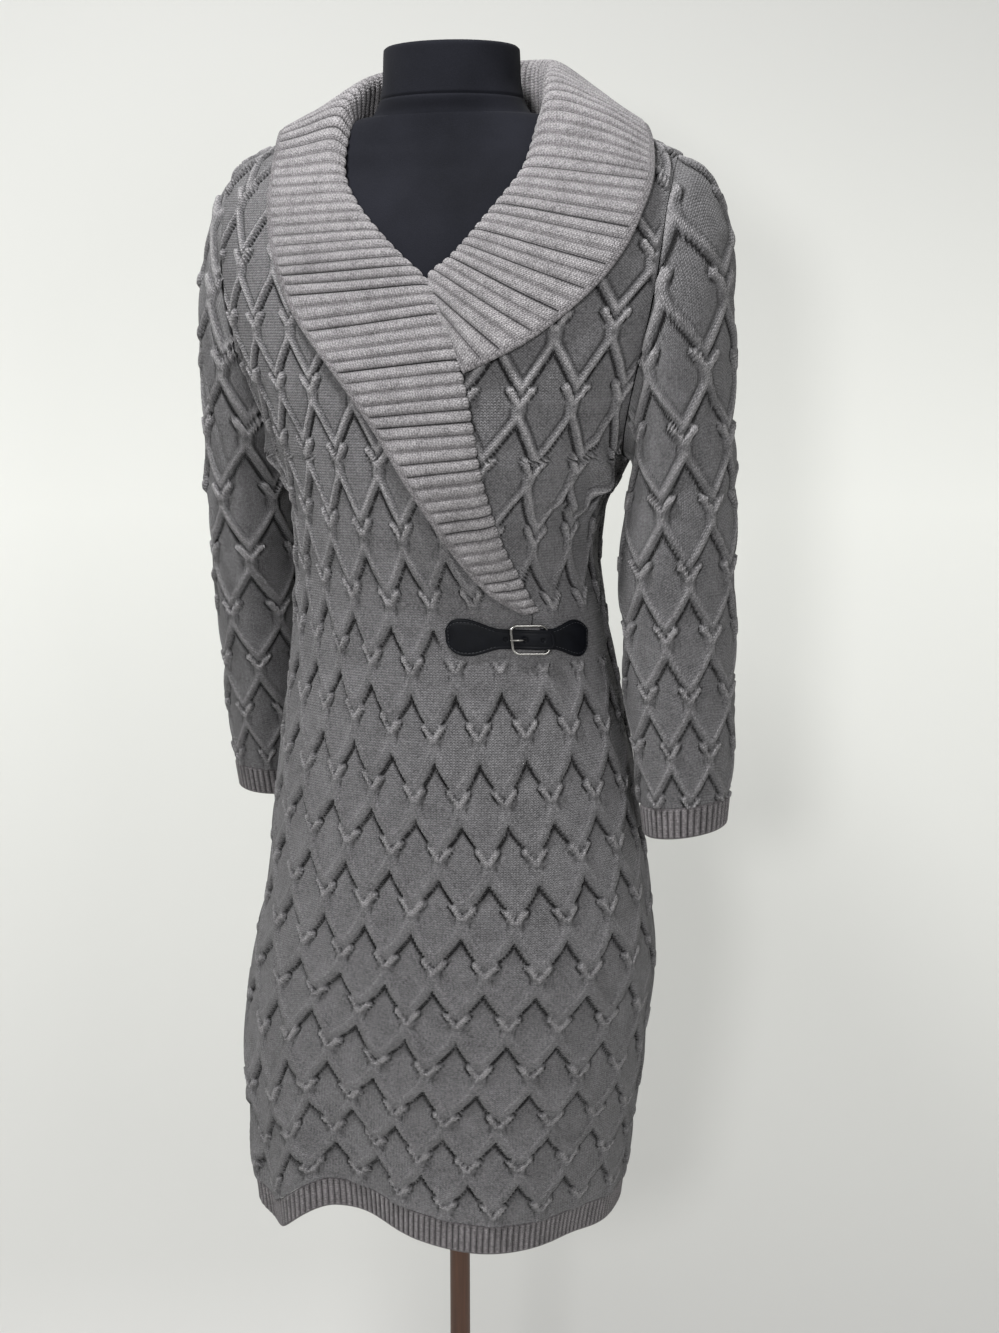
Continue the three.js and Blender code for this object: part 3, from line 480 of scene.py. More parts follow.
def cable_row_number(angle, z):
    """Rows of cable crossings, counted by height and, over the shoulders, along the knitting."""
    low = read_rows(CABLE_ROWS, np.minimum(z, BUST_ROW))[..., 0]
    levels = np.linspace(BUST_ROW, BODY_TOP, 60)
    fan = np.linspace(0, 90, 31)
    grid = body_point(fan[None, :], levels[:, None])
    run = np.vstack([np.zeros(31), np.cumsum(np.linalg.norm(np.diff(grid, axis=0), axis=2), axis=0)])
    row = np.interp(z, levels, np.arange(60.0))
    col = np.abs(90 - np.abs(wrap_turn(angle)))
    col = (90 - col) / 3
    r0, c0 = np.clip(row.astype(int), 0, 58), np.clip(col.astype(int), 0, 29)
    fr, fc = row - r0, col - c0
    here = ((run[r0, c0] * (1 - fc) + run[r0, c0 + 1] * fc) * (1 - fr)
            + (run[r0 + 1, c0] * (1 - fc) + run[r0 + 1, c0 + 1] * fc) * fr)
    return low + here / BODICE_ROW


def cable_relief(u, v, rope):
    """Height of the cables over the plain knitting, and the painted light and shade of the yarn there.
    Each diamond is bordered below by two cables that meet in a V, over a crossing with short ears.
    Where the knitting is stretched the cables stand as round ropes (1), elsewhere as scales (0)."""
    row = np.floor(v)
    shift = np.where(row % 2 == 0, CABLE_OFFSET, CABLE_OFFSET + 0.5)
    x = np.abs((u - shift + 0.5) % 1 - 0.5) * CABLE_WIDE
    y = (v - row) * CABLE_HIGH
    # The cable runs from the stem above, at the diamond's corner, to the V over this crossing.
    rise, reach = STEM_TOP - VEE_HIGH, CABLE_WIDE / 2
    steep = math.hypot(rise, reach)
    beside = (x * rise - (y - VEE_HIGH) * reach) / steep
    along = (x * reach + (y - VEE_HIGH) * rise) / steep
    beside = beside - SCALE_BULGE * (1 - rope) * np.sin(np.pi * np.clip(along / steep, 0, 1))
    there = smooth(-4.5, 0, along) * smooth(steep + 5, steep + 1, along)
    scale_edge = smooth(-8, -2.2, beside) * smooth(4.4, 3.0, beside)
    round_rope = 0.85 * np.sqrt(np.clip(1 - (beside / 3.0) ** 2, 0, 1))
    cable = (scale_edge * (1 - rope) + round_rope * rope) * there
    painted_highlight_line = np.exp(-((beside + 3.0 * (1 - rope) + 0.3) / 1.1) ** 2) * there
    groove = np.exp(-((beside - 5.0 + 0.9 * rope) / 1.45) ** 2) * there
    inner_groove = (0.15 + 0.4 * rope) * np.exp(-((beside + 4.2) / 1.2) ** 2) * there
    # Each diamond's knitting stands higher towards its V, and dips under the cables above it.
    own, lower = 1 - (y - VEE_HIGH) / GROUND_RUN, 1 - (y + CABLE_HIGH - VEE_HIGH) / GROUND_RUN
    swap = smooth(0, 3.5, beside)
    ground = GROUND_LOW + (GROUND_RISE - 1.6 * rope) * (own * (1 - swap) + lower * swap)
    # Below each crossing the two cables run side by side as a stem, then part.
    stem_x, stem_y = reach - x, y - CABLE_HIGH
    stem_far = np.hypot(stem_x, np.minimum(stem_y - (STEM_TOP - CABLE_HIGH), 0))
    stem = 0.85 * smooth(5.2, 2.8, stem_far) * (1 - 0.3 * np.exp(-(stem_x / 0.9) ** 2))
    stem_side = 0.5 * np.exp(-((stem_x - 5.8) / 1.2) ** 2) * smooth(-16, -12, stem_y)
    foot = 0.85 * smooth(4.4, 2.4, np.hypot(x, np.maximum(y - 1, 0))) * (y < 6)
    # The ears: two short rounded loops that rise from the crossing beside the V.
    share = np.clip((x * EAR_OUT + y * EAR_UP) / (EAR_OUT ** 2 + EAR_UP ** 2), 0, 1)
    ear_far = np.hypot(x - share * EAR_OUT, y - share * EAR_UP)
    ear = np.sqrt(np.clip(1 - (ear_far / (1.9 + 0.8 * share)) ** 2, 0, 1))
    ear_side = 0.8 * np.exp(-((ear_far - 3.6) / 1.0) ** 2) * (x > share * EAR_OUT)
    recess = np.exp(-np.hypot((x - 4.0) / 2.0, (y - 9.5) / 3.2) ** 2) * (1 - ear)
    notch = np.exp(-np.hypot(x / 2.0, (y - 4.6) / 2.0) ** 2) * (1 - ear)
    best = np.maximum.reduce([cable, stem, foot])
    dip = np.maximum.reduce([groove, inner_groove, stem_side, recess, 0.8 * notch]) * (1 - best)
    dip = np.maximum(dip, ear_side * (1 - ear) * smooth(1, 4, y) * smooth(16, 11, y))
    height = ground * (1 - best) + CABLE_RAISED * best - CABLE_GROOVE * dip
    height = height + (CABLE_RAISED + 0.6 - height) * smooth(0, 0.6, ear)
    # The tone is painted light and shade: a painted highlight on the cables, their thin bright line and the
    # ears, painted shade in the grooves and recesses, and on scales the knitting painted lighter towards its
    # V and darker under the cables above it.
    tone = (0.1 + 0.4 * rope) * best + (0.3 + 0.25 * rope) * painted_highlight_line - 1.15 * dip
    tone = tone + 0.35 * (own * (1 - swap) + lower * swap - 0.5) * (1 - best) * (1 - rope)
    return height, np.clip(tone + (0.7 + 0.25 * rope - tone) * smooth(0.1, 0.6, ear), -1, 1)


def pulled(u, v):
    """The lattice as the wrap draws it: it leans at the -X waist, and its rows climb to that side."""
    u = u - WAIST_LEAN * smooth(-0.5, -5, u) * np.clip(v - 5, 0, 6)
    v = v + WAIST_CLIMB * np.clip(u, -6, 0) * smooth(1, 3, v) * smooth(15, 12, v)
    return u + 0.05 * np.sin(1.7 * v + 0.8 * u), v + 0.045 * np.sin(1.3 * u + 0.9 * v)


def grid_normals(grid, closed=False):
    if closed:
        across = np.roll(grid, -1, 1) - np.roll(grid, 1, 1)
    else:
        across = np.gradient(grid, axis=1)
    out = np.cross(across, np.gradient(grid, axis=0))
    return out / np.maximum(np.linalg.norm(out, axis=-1, keepdims=True), 1e-9)


def side_of(rows_of_points, flip, first):
    """Faces of a ragged grid and its edge loop, counterclockwise from outside."""
    counts = [len(row) for row in rows_of_points]
    starts = first + np.concatenate([[0], np.cumsum(counts)[:-1]])
    faces = []
    for r in range(len(counts) - 1):
        c = np.arange(min(counts[r], counts[r + 1]) - 1)
        low, high = starts[r] + c, starts[r + 1] + c
        faces.append(np.stack([low, low + 1, high + 1, high], -1))
    faces = np.vstack(faces)
    loop = list(starts[0] + np.arange(counts[0]))
    for r in range(1, len(counts)):
        if counts[r] < counts[r - 1]:
            loop += list(starts[r - 1] + np.arange(counts[r - 1] - 2, counts[r] - 2, -1))
        loop.append(starts[r] + counts[r] - 1)
    loop += list(starts[-1] + np.arange(counts[-1] - 2, -1, -1))
    loop += [starts[r] for r in range(len(counts) - 2, 0, -1)]
    return faces[:, ::-1] if flip else faces, loop


def edge_strip(outer, inner):
    """Closes a fine edge loop against one with half as many points."""
    strip = []
    for j, low in enumerate(inner):
        a, b, c = outer[2 * j], outer[2 * j + 1], outer[(2 * j + 2) % len(outer)]
        after = inner[(j + 1) % len(inner)]
        strip += [(b, a, low), (b, low, after), (c, b, after)]
    return np.array(strip)


def sheet_shell(outer, inner):
    """A closed wall from rows of points: a fine outer side and an inner side half as fine."""
    points = np.vstack([*outer, *inner])
    outer_faces, outer_loop = side_of(outer, False, 0)
    inner_faces, inner_loop = side_of(inner, True, sum(map(len, outer)))
    return points, np.vstack([outer_faces, inner_faces]), edge_strip(outer_loop, inner_loop)


def knit_panel(name, heights, rows, middle, lift, finish, flat_near):
    """A cable-knit panel. Each row gives its two edge angles and how many columns it has."""
    outer, inner, places, tones = [], [], [], []
    angle_rows, run_rows, column_rows = zip(*[panel_row(z, *row, middle) for z, row in zip(heights, rows)])
    widest = max(len(a) for a in angle_rows)
    padded = np.array([np.pad(a, (0, widest - len(a)), "edge") for a in angle_rows])
    z = np.broadcast_to(heights[:, None], padded.shape)
    numbers = cable_row_number(padded, z)
    smooth_rows = []
    for r, angles in enumerate(angle_rows):
        level = np.full(len(angles), heights[r])
        smooth_rows.append(cloth_point(angles, level, lift(angles, level)))
    for r, row in enumerate(smooth_rows):
        # Rows of the same length on each side give the slope up the panel.
        before = smooth_rows[max(r - 1, 0)][:len(row)]
        after = smooth_rows[min(r + 1, len(smooth_rows) - 1)]
        after = after if len(after) >= len(row) else row
        up = after[:len(row)] - (before if len(before) == len(row) else row)
        out = np.cross(np.gradient(row, axis=0), up)
        out /= np.maximum(np.linalg.norm(out, axis=-1, keepdims=True), 1e-9)
        lattice = pulled(column_rows[r], numbers[r][:len(row)])
        height, tone = cable_relief(*lattice, smooth(*ROPES_FROM, heights[r]))
        runs = run_rows[r]
        keep = smooth(0, 5, np.minimum(runs - runs[0], runs[-1] - runs)) * flat_near(row)
        height, tone = height * keep - 0.4 * (1 - keep), tone * keep
        outer.append(row + out * height[:, None])
        if r % 2 == 0:
            inner.append((row - out * WALL)[::2])
        places.append(np.stack([run_rows[r], numbers[r][:len(row)] * CABLE_HIGH], -1))
        tones.append(tone)
    uv = np.vstack([*places, *[p[::2] for p in places[::2]]])
    painted_light_and_shade = np.concatenate([*tones, *[0 * t[::2] for t in tones[::2]]])
    return make_piece(name, sheet_shell(outer, inner), finish, uv, {"painted_light_and_shade": painted_light_and_shade})


# Heathered wool blend: light and dark fibres spun together, a matt, slightly hairy surface, rows
# of small interlocking stitches, a painted highlight on whatever is raised and painted shade in the grooves.
def heather_knit(name, groove_shade, ground, ridge_highlight, wide, high):
    finish, tree = new_finish(name)
    place = add_node(tree, "ShaderNodeUVMap", {"uv_map": "knit"}, {})
    axes = add_node(tree, "ShaderNodeSeparateXYZ", {}, {0: place})
    solid = add_node(tree, "ShaderNodeTexCoord", {}, {})
    painted_light_and_shade = add_node(tree, "ShaderNodeAttribute", {"attribute_name": "painted_light_and_shade"}, {})
    # Stitches: each is a V of two legs, so the row line bends down at the middle of every stitch.
    column = add_node(tree, "ShaderNodeMath", {"operation": "MULTIPLY"}, {0: axes, 1: 1 / (wide * MM)})
    inside = add_node(tree, "ShaderNodeMath", {"operation": "PINGPONG"}, {0: column, 1: 0.5})
    bent = add_node(tree, "ShaderNodeMath", {"operation": "MULTIPLY_ADD"},
                    {0: axes.outputs[1], 1: 1 / (high * MM), 2: inside})
    rows = add_node(tree, "ShaderNodeMath", {"operation": "PINGPONG"}, {0: bent, 1: 0.5})
    legs = add_node(tree, "ShaderNodeMath", {"operation": "PINGPONG"}, {0: inside, 1: 0.25})
    stitch = add_node(tree, "ShaderNodeMath", {"operation": "ADD"}, {0: rows, 1: legs})
    fibre = add_node(tree, "ShaderNodeTexNoise", {}, {"Vector": solid.outputs["Object"],
                     "Scale": FIBRES_A_METRE, "Detail": 4})
    patch = add_node(tree, "ShaderNodeTexNoise", {}, {"Vector": solid.outputs["Object"],
                     "Scale": PATCHES_A_METRE, "Detail": 4})
    # Painted highlight on whatever is raised and painted shade in the grooves, from the marks the pieces
    # carry.
    raised = add_node(tree, "ShaderNodeMapRange", {}, {"Value": painted_light_and_shade.outputs["Fac"], "From Min": 0.15,
                      "From Max": 0.95})
    sunk = add_node(tree, "ShaderNodeMapRange", {}, {"Value": painted_light_and_shade.outputs["Fac"], "From Min": -0.1,
                    "From Max": -0.75})
    yarn = add_node(tree, "ShaderNodeMix", {"data_type": "RGBA"}, {0: raised, 6: linear(ground),
                    7: linear(ridge_highlight)})
    shaded = add_node(tree, "ShaderNodeMix", {"data_type": "RGBA"}, {0: sunk, 6: yarn.outputs[2],
                      7: linear(groove_shade)})
    mixed = add_node(tree, "ShaderNodeMath", {"operation": "MULTIPLY_ADD"}, {0: patch, 1: 0.35,
                     2: fibre})
    speckle = add_node(tree, "ShaderNodeMapRange", {}, {"Value": mixed, "From Min": 0.4, "From Max": 0.95,
                       "To Min": 0.42, "To Max": 1.55})
    gaps = add_node(tree, "ShaderNodeMapRange", {}, {"Value": stitch, "From Min": 0.05, "From Max": 0.4,
                    "To Min": 0.6, "To Max": 1.12})
    grain = add_node(tree, "ShaderNodeMath", {"operation": "MULTIPLY"}, {0: speckle, 1: gaps})
    colour = add_node(tree, "ShaderNodeVectorMath", {"operation": "SCALE"}, {0: shaded.outputs[2],
                      "Scale": grain})
    hairy = add_node(tree, "ShaderNodeMath", {"operation": "MULTIPLY_ADD"}, {0: fibre, 1: 0.35,
                     2: stitch})
    bump = add_node(tree, "ShaderNodeBump", {}, {"Height": hairy, "Strength": 1, "Distance": 0.0014})
    skin = add_node(tree, "ShaderNodeBsdfPrincipled", {}, {"Base Color": colour, "Roughness": 0.92,
                    "Specular IOR Level": 0.25, "Sheen Weight": 0.2, "Sheen Roughness": 0.45,
                    "Normal": bump})
    add_node(tree, "ShaderNodeOutputMaterial", {}, {0: skin})
    return finish


TAB_Z = 1035
TAB_X = 85
TAB_SLOPE = -0.05


def under_tab(points):
    """0 where the leather tab presses the cables flat, 1 away from it."""
    x, z = points[..., 0], points[..., 2]
    centre = TAB_Z + TAB_SLOPE * (x - TAB_X)
    pressed = smooth(24, 15, np.abs(z - centre)) * smooth(14, 22, x) * smooth(142, 130, x)
    return 1 - pressed * (points[..., 1] < 0)


def flat_on_wrap(points):
    """Flat under the tab and under the collar's seam along the wrap."""
    x, z = points[..., 0], points[..., 2]
    edge = wrap_edge(z)
    return under_tab(points) * (1 - smooth(edge - 15, edge - 5, x) * (z > WRAP_FOOT))


cable_yarn = heather_knit("heather_cable_knit", YARN_GROOVE_SHADE, YARN_GROUND, YARN_RIDGE_HIGHLIGHT, STITCH_WIDE, STITCH_HIGH)
skirt_heights = panel_heights(HEM_SEAM, WRAP_FOOT, PANEL_ROW)
bodice_heights = panel_heights(WRAP_FOOT, NECK_TOP, PANEL_ROW)[1:]
front_side = side_angle(skirt_heights, True) - seam_angle(skirt_heights)
hip_run = arc_table(HIP, 0)[2]
skirt_columns = 2 * round(hip_run / PANEL_COLUMN / 2)
foot_angles, _, _ = panel_row(WRAP_FOOT, -front_side[-1], front_side[-1], skirt_columns, 0)
foot_edge = angle_of_x(wrap_edge(WRAP_FOOT), WRAP_FOOT)
bodice_columns = 2 * round(int(np.searchsorted(foot_angles, foot_edge)) / 2)
front_rows = [(-side, side, skirt_columns) for side in front_side]
for z in bodice_heights:
    side = float(side_angle(z, True) - seam_angle(z))
    edge = max(float(angle_of_x(wrap_edge(z), z)), -side + 0.5)
    front_rows.append((-side, edge, bodice_columns))
front_heights = np.concatenate([skirt_heights, bodice_heights])
front = knit_panel("wrapped_front_knit", front_heights, front_rows, 0, wrap_lift, cable_yarn, flat_on_wrap)
stands_for(front, "front_wrap")

# ---- under front -------------------------------------------------------------------------------------
# The +X bodice, in the same cable knit. Its inner edge runs on under the wrap and is caught there.
ROLL_RIGHT = [[1242, 42], [1272, 31], [1292, 22], [1310, 15], [1331, 35], [1357, 55], [1380, 71], [1403, 82],
              [1426, 85], [1450, 82]]
UNDER_WIDE = 230
UNDER_SHOWS = 1296           # from this height up its inner edge lies clear of the wrap

under_heights = panel_heights(WRAP_FOOT + SEAM / 3, NECK_TOP, PANEL_ROW)
tucked = wrap_edge(under_heights) - under_reach(under_heights)
open_edge = read_rows(ROLL_RIGHT, under_heights)[..., 0] + COLLAR_OVER
under_edge = tucked + (open_edge - tucked) * smooth(UNDER_SHOWS, UNDER_SHOWS + 20, under_heights)
under_side = side_angle(under_heights, True) - seam_angle(under_heights)
under_columns = 2 * round(UNDER_WIDE / PANEL_COLUMN / 2)
under_rows = [(min(float(angle_of_x(x, z)), side - 0.5), float(side), under_columns)
              for x, z, side in zip(under_edge, under_heights, under_side)]


def flat_under_wrap(points):
    """Flat where the wrap lies over it, and along the collar's seam on the other side."""
    x, z = points[..., 0], points[..., 2]
    edge = wrap_edge(z)
    other = read_rows(ROLL_RIGHT, z)[..., 0] + COLLAR_OVER
    at_seam = np.where(z > UNDER_SHOWS, smooth(other + 3, other + 12, x), 1)
    return under_tab(points) * smooth(edge - 1, edge + 5, x) * at_seam


def not_lifted(angle, z):
    return 0 * angle


under = knit_panel("under_front_knit", under_heights, under_rows, 0, not_lifted, cable_yarn, flat_under_wrap)
stands_for(under, "front_under")

# ---- back ---------------------------------------------------------------------------------------------
# One cable-knit piece from the hem band to the neck, sewn to the fronts at the sides and shoulders.
BACK_COLUMN = 2.15
BACK_ROW = 2.8

back_heights = panel_heights(HEM_SEAM, NECK_TOP, BACK_ROW)
back_side = 180 - side_angle(back_heights, False) + seam_angle(back_heights)
back_columns = 2 * round(arc_table(HIP, 180)[2] / BACK_COLUMN / 2)
back_rows = [(side, 360 - side, back_columns) for side in back_side]
back = knit_panel("back_knit", back_heights, back_rows, 180, not_lifted, cable_yarn, lambda points: 1)
stands_for(back, "back")

# ---- hem bands ----------------------------------------------------------------------------------------
# Two ribbed bands, knitted on to the fronts and the back and joined at the sides. The ribs run down
# to a soft cast-off edge.
HEM_PITCH = 4.8
HEM_COLUMN = 0.8
HEM_RAISED = 1.1
BAND_ROUND = 3
YARN_BAND = "#6a6668"
# The band's ridge colour is a painted highlight on the ribs' crowns.
YARN_BAND_RIDGE_HIGHLIGHT = "#858183"


def rib_tree():
    """Raises ribs on a piece along its normals, from its marks: the rib count and where ribs show. It also
    stores their painted light and shade: lighter crowns and darker grooves.
    """
    tree = bpy.data.node_groups.new("knitted_ribs", "GeometryNodeTree")
    tree.interface.new_socket("Geometry", in_out="INPUT", socket_type="NodeSocketGeometry")
    for label, start in (("Rib height", 0.001), ("Groove sharpness", 3.0)):
        tree.interface.new_socket(label, in_out="INPUT", socket_type="NodeSocketFloat").default_value = start
    tree.interface.new_socket("Yarn", in_out="INPUT", socket_type="NodeSocketMaterial")
    tree.interface.new_socket("Geometry", in_out="OUTPUT", socket_type="NodeSocketGeometry")
    given = add_node(tree, "NodeGroupInput", {}, {})
    count = add_node(tree, "GeometryNodeInputNamedAttribute", {"data_type": "FLOAT"}, {0: "rib"})
    shown = add_node(tree, "GeometryNodeInputNamedAttribute", {"data_type": "FLOAT"}, {0: "rib_shown"})
    part = add_node(tree, "ShaderNodeMath", {"operation": "FRACT"}, {0: count})
    centred = add_node(tree, "ShaderNodeMath", {"operation": "MULTIPLY_ADD"}, {0: part, 1: 2, 2: -1})
    away = add_node(tree, "ShaderNodeMath", {"operation": "ABSOLUTE"}, {0: centred})
    drop = add_node(tree, "ShaderNodeMath", {"operation": "POWER"}, {0: away, 1: given.outputs[2]})
    crown = add_node(tree, "ShaderNodeMath", {"operation": "MULTIPLY_ADD"}, {0: drop, 1: -2, 2: 1})
    # Painted light and shade: a painted highlight on the rib crowns and painted shade in the grooves between
    # them.
    tone = add_node(tree, "ShaderNodeMath", {"operation": "MULTIPLY"}, {0: crown, 1: shown})
    height = add_node(tree, "ShaderNodeMath", {"operation": "MULTIPLY"}, {0: tone, 1: given.outputs[1]})
    normal = add_node(tree, "GeometryNodeInputNormal", {}, {})
    lift = add_node(tree, "ShaderNodeVectorMath", {"operation": "SCALE"}, {0: normal,
                    "Scale": height})
    marked = add_node(tree, "GeometryNodeStoreNamedAttribute", {"data_type": "FLOAT"},
                      {0: given, "Name": "painted_light_and_shade", "Value": tone})
    moved = add_node(tree, "GeometryNodeSetPosition", {}, {0: marked, "Offset": lift})
    real = add_node(tree, "GeometryNodeRealizeInstances", {}, {0: moved})
    dressed = add_node(tree, "GeometryNodeSetMaterial", {}, {0: real, "Material": given.outputs[3]})
    add_node(tree, "NodeGroupOutput", {}, {0: dressed})
    return tree


def apply_tree(piece, tree, values):
    """Runs a node tree on a piece and keeps the plain mesh that it makes."""
    modifier = piece.modifiers.new(tree.name, "NODES")
    modifier.node_group = tree
    for item in tree.interface.items_tree:
        if item.in_out == "INPUT" and item.name in values:
            modifier[item.identifier] = values[item.name]
    made = bpy.data.meshes.new_from_object(piece.evaluated_get(bpy.context.evaluated_depsgraph_get()))
    piece.modifiers.clear()
    piece.data = made
    return piece


knitted_ribs = rib_tree()
band_yarn = heather_knit("heather_rib_band", YARN_GROOVE_SHADE, YARN_BAND, YARN_BAND_RIDGE_HIGHLIGHT, 2.4, STITCH_HIGH)


def rib_band(name, outer, pitch, runs, closed):
    """A ribbed band from a fine smooth grid, with rounded edges."""
    out = grid_normals(outer, closed)
    size = outer.shape[:2]
    down = distance_along(outer[:, 0])
    edge = np.minimum(down, down[-1] - down)
    tuck = 1.2 * (1 - np.sqrt(np.clip(1 - (1 - np.clip(edge / BAND_ROUND, 0, 1)) ** 2, 0, 1)))
    wall = outer - out * tuck[:, None, None]
    inner = (outer - out * (WALL - tuck)[:, None, None])[::2, ::2]
    shown = smooth(0, 2.5, edge)[:, None] * np.ones(size)
    ribs = np.broadcast_to(runs / pitch, size)
    places = np.stack([np.broadcast_to(runs, size), np.broadcast_to(down[:, None], size)], -1)
    if closed:
        shape = tube_shell(wall, inner)
    else:
        shape = sheet_shell(list(wall), list(inner))
    uv = np.vstack([places.reshape(-1, 2), places[::2, ::2].reshape(-1, 2)])
    marks = {"rib": np.concatenate([ribs.ravel(), ribs[::2, ::2].ravel()]),
             "rib_shown": np.concatenate([shown.ravel(), 0 * shown[::2, ::2].ravel()])}
    band = make_piece(name, shape, band_yarn, uv, marks)
    values = {"Rib height": HEM_RAISED / 2 * MM, "Groove sharpness": 1.6, "Yarn": band_yarn}
    return apply_tree(band, knitted_ribs, values)


def hem_grid(start, end, middle):
    levels = np.linspace(HEM_LOW, HEM_SEAM - SEAM, 21)
    columns = 2 * round(arc_table(HEM_LOW, middle)[2] / HEM_COLUMN / 2)
    rows = [panel_row(z, start, end, columns, middle) for z in levels]
    grid = np.array([cloth_point(angles, np.full(len(angles), z), 0 * angles) for z, (angles, _, _) in
                     zip(levels, rows)])
    return grid, rows[0][1]


hem_seam_angle = float(seam_angle(HEM_LOW))
for name, node, middle in (("hem_band_front", "hem_front", 0), ("hem_band_back", "hem_back", 180)):
    grid, runs = hem_grid(middle - 90 + hem_seam_angle, middle + 90 - hem_seam_angle, middle)
    hem = rib_band(name, grid, HEM_PITCH, runs, False)
    stands_for(hem, node)

# ---- sleeves -------------------------------------------------------------------------------------------
# Set-in sleeves in the cable knit, each one piece with a seam under the arm. They hang empty and
# nearly straight from the armholes, a little slack at the elbow.
SLEEVE_COLUMNS = 7
SLEEVE_OFFSET = 0.07         # turns the cables round the sleeve, in diamonds
SLEEVE_ROW = 2.5             # spacing of its rings
ARMHOLE_STEPS = 76

# From the armhole down: inner point and outer point of each ring, half its depth, where its middle lies.
SLEEVE_RIGHT = [
    [151, 1173, 205, 1398, 65, 0], [154, 1166, 219, 1370, 66, -1], [152, 1150, 227, 1330, 66, -2],
    [148, 1125, 230, 1283, 64, -3], [144, 1090, 231, 1220, 60, -5], [145, 1043, 234, 1140, 56, -7],
    [149, 993, 236, 1060, 51, -8], [155, 943, 237, 985, 46, -9], [161, 905, 237, 925, 41, -10],
    [163, 893, 236, 903, 39, -10], [166, 867, 234, 877, 38, -10],
]
SLEEVE_LEFT = [
    [-151, 1173, -199, 1396, 65, 0], [-153, 1166, -209, 1368, 66, 2], [-154, 1150, -218, 1328, 66, 5],
    [-154, 1125, -223, 1280, 64, 8], [-154, 1090, -225, 1215, 60, 13], [-156, 1043, -228, 1135, 56, 22],
    [-159, 990, -230, 1052, 51, 33], [-163, 938, -231, 975, 46, 46], [-166, 898, -232, 913, 42, 57],
    [-166, 886, -232, 891, 40, 60], [-166, 861, -231, 865, 39, 66],
]
# Rows of cable crossings up a sleeve: height, row number.
SLEEVE_ROWS = [[850, -1], [896, 0], [940, 1], [986, 2], [1034, 3], [1084, 4], [1136, 5], [1190, 6], [1246, 7],
               [1306, 8], [1368, 9], [1430, 10]]
SLEEVE_HALF = 43
SLEEVE_DEPTH = 54
# The middle of each sleeve: height, x, y.
SLEEVE_AXIS = {"right": [[880, 200, -10], [985, 196, -9], [1140, 190, -6], [1240, 178, -3], [1400, 132, 0]],
               "left": [[880, -199, 60], [975, -197, 46], [1135, -192, 20], [1240, -180, 8], [1400, -130, 0]]}
# Soft creases of a sleeve: share of the way down, turn round it, lean, length, width, how far out.
SLEEVE_CREASES = [
    [0.16, 200, 62, 34, 9, 3.5], [0.24, 240, 70, 30, 8, -3], [0.34, 150, -66, 34, 10, -2.5],
    [0.46, 210, 72, 40, 9, 3], [0.52, 170, -74, 36, 8, -3], [0.60, 230, 66, 30, 9, 2.5],
    [0.72, 150, -70, 34, 9, -2], [0.84, 200, 78, 30, 8, 2], [0.40, 30, 74, 34, 10, -2],
    [0.56, 340, -70, 36, 9, 2.2],
]


def spline(path, at):
    """A smooth path through points, read at fractional point numbers; lanes run side by side."""
    first, last = 2 * path[:1] - path[1:2], 2 * path[-1:] - path[-2:-1]
    full = np.concatenate([first, path, last])
    i = np.clip(at.astype(int), 0, len(path) - 2)
    f = (at - i).reshape(-1, *[1] * (path.ndim - 1))
    p0, p1, p2, p3 = (full[i + k] for k in range(4))
    d0, d1, d2 = (np.maximum(np.linalg.norm(q - p, axis=-1, keepdims=True), 1e-6) ** 0.5
                  for p, q in ((p0, p1), (p1, p2), (p2, p3)))
    m1 = ((p1 - p0) / d0 - (p2 - p0) / (d0 + d1) + (p2 - p1) / d1) * d1
    m2 = ((p2 - p1) / d1 - (p3 - p1) / (d1 + d2) + (p3 - p2) / d2) * d1
    return ((2 * f ** 3 - 3 * f ** 2 + 1) * p1 + (f ** 3 - 2 * f ** 2 + f) * m1
            + (3 * f ** 2 - 2 * f ** 3) * p2 + (f ** 3 - f ** 2) * m2)


def even_places(path, low, high, spacing):
    """Fractional point numbers that are evenly spaced along a path of lanes; the count is even."""
    dense = np.linspace(low, high, 600)
    run = np.linalg.norm(np.diff(spline(path, dense), axis=0), axis=-1)
    run = run.reshape(len(run), -1).mean(1)
    run = np.concatenate([[0], np.cumsum(run)])
    count = 2 * max(1, round(run[-1] / spacing / 2))
    return np.interp(np.linspace(0, run[-1], count + 1), run, dense)


def tube_shell(outer, inner):
    """A closed wall from two grids of rings, open at both ends; the inner side is half as fine."""
    def side(grid, flip, first):
        rows, cols = grid.shape[:2]
        r, c = first + np.arange(rows - 1)[:, None] * cols, np.arange(cols)[None, :]
        after = (c + 1) % cols
        faces = np.stack([r + c, r + after, r + cols + after, r + cols + c], -1).reshape(-1, 4)
        low, high = first + np.arange(cols), first + (rows - 1) * cols + np.arange(cols)[::-1]
        high = np.roll(high, 1)
        return faces[:, ::-1] if flip else faces, low, high
    outer_faces, outer_low, outer_high = side(outer, False, 0)
    inner_faces, inner_low, inner_high = side(inner, True, outer.shape[0] * outer.shape[1])
    points = np.vstack([outer.reshape(-1, 3), inner.reshape(-1, 3)])
    strips = np.vstack([edge_strip(outer_low, inner_low), edge_strip(outer_high, inner_high)])
    return points, np.vstack([outer_faces, inner_faces]), strips


def armhole_ring(sign, steps):
    """The armhole moved in by the seam: up its front edge and down its back edge."""
    z = UNDERARM + (SHOULDER - UNDERARM) * (1 - np.cos(np.pi * np.arange(steps + 1) / steps)) / 2
    front_edge = cloth_point(sign * side_angle(z, True), z, 0 * z)
    back_edge = cloth_point(sign * (180 - side_angle(z, False)), z, 0 * z)[1:-1][::-1]
    ring = np.vstack([front_edge, back_edge])
    room = SEAM / 2
    ring[:, 0] += sign * room
    ring[:, 1] -= np.sign(ring[:, 1]) * room
    ring[:, 2] -= np.sign(ring[:, 2] - (UNDERARM + SHOULDER) / 2) * room
    return ring


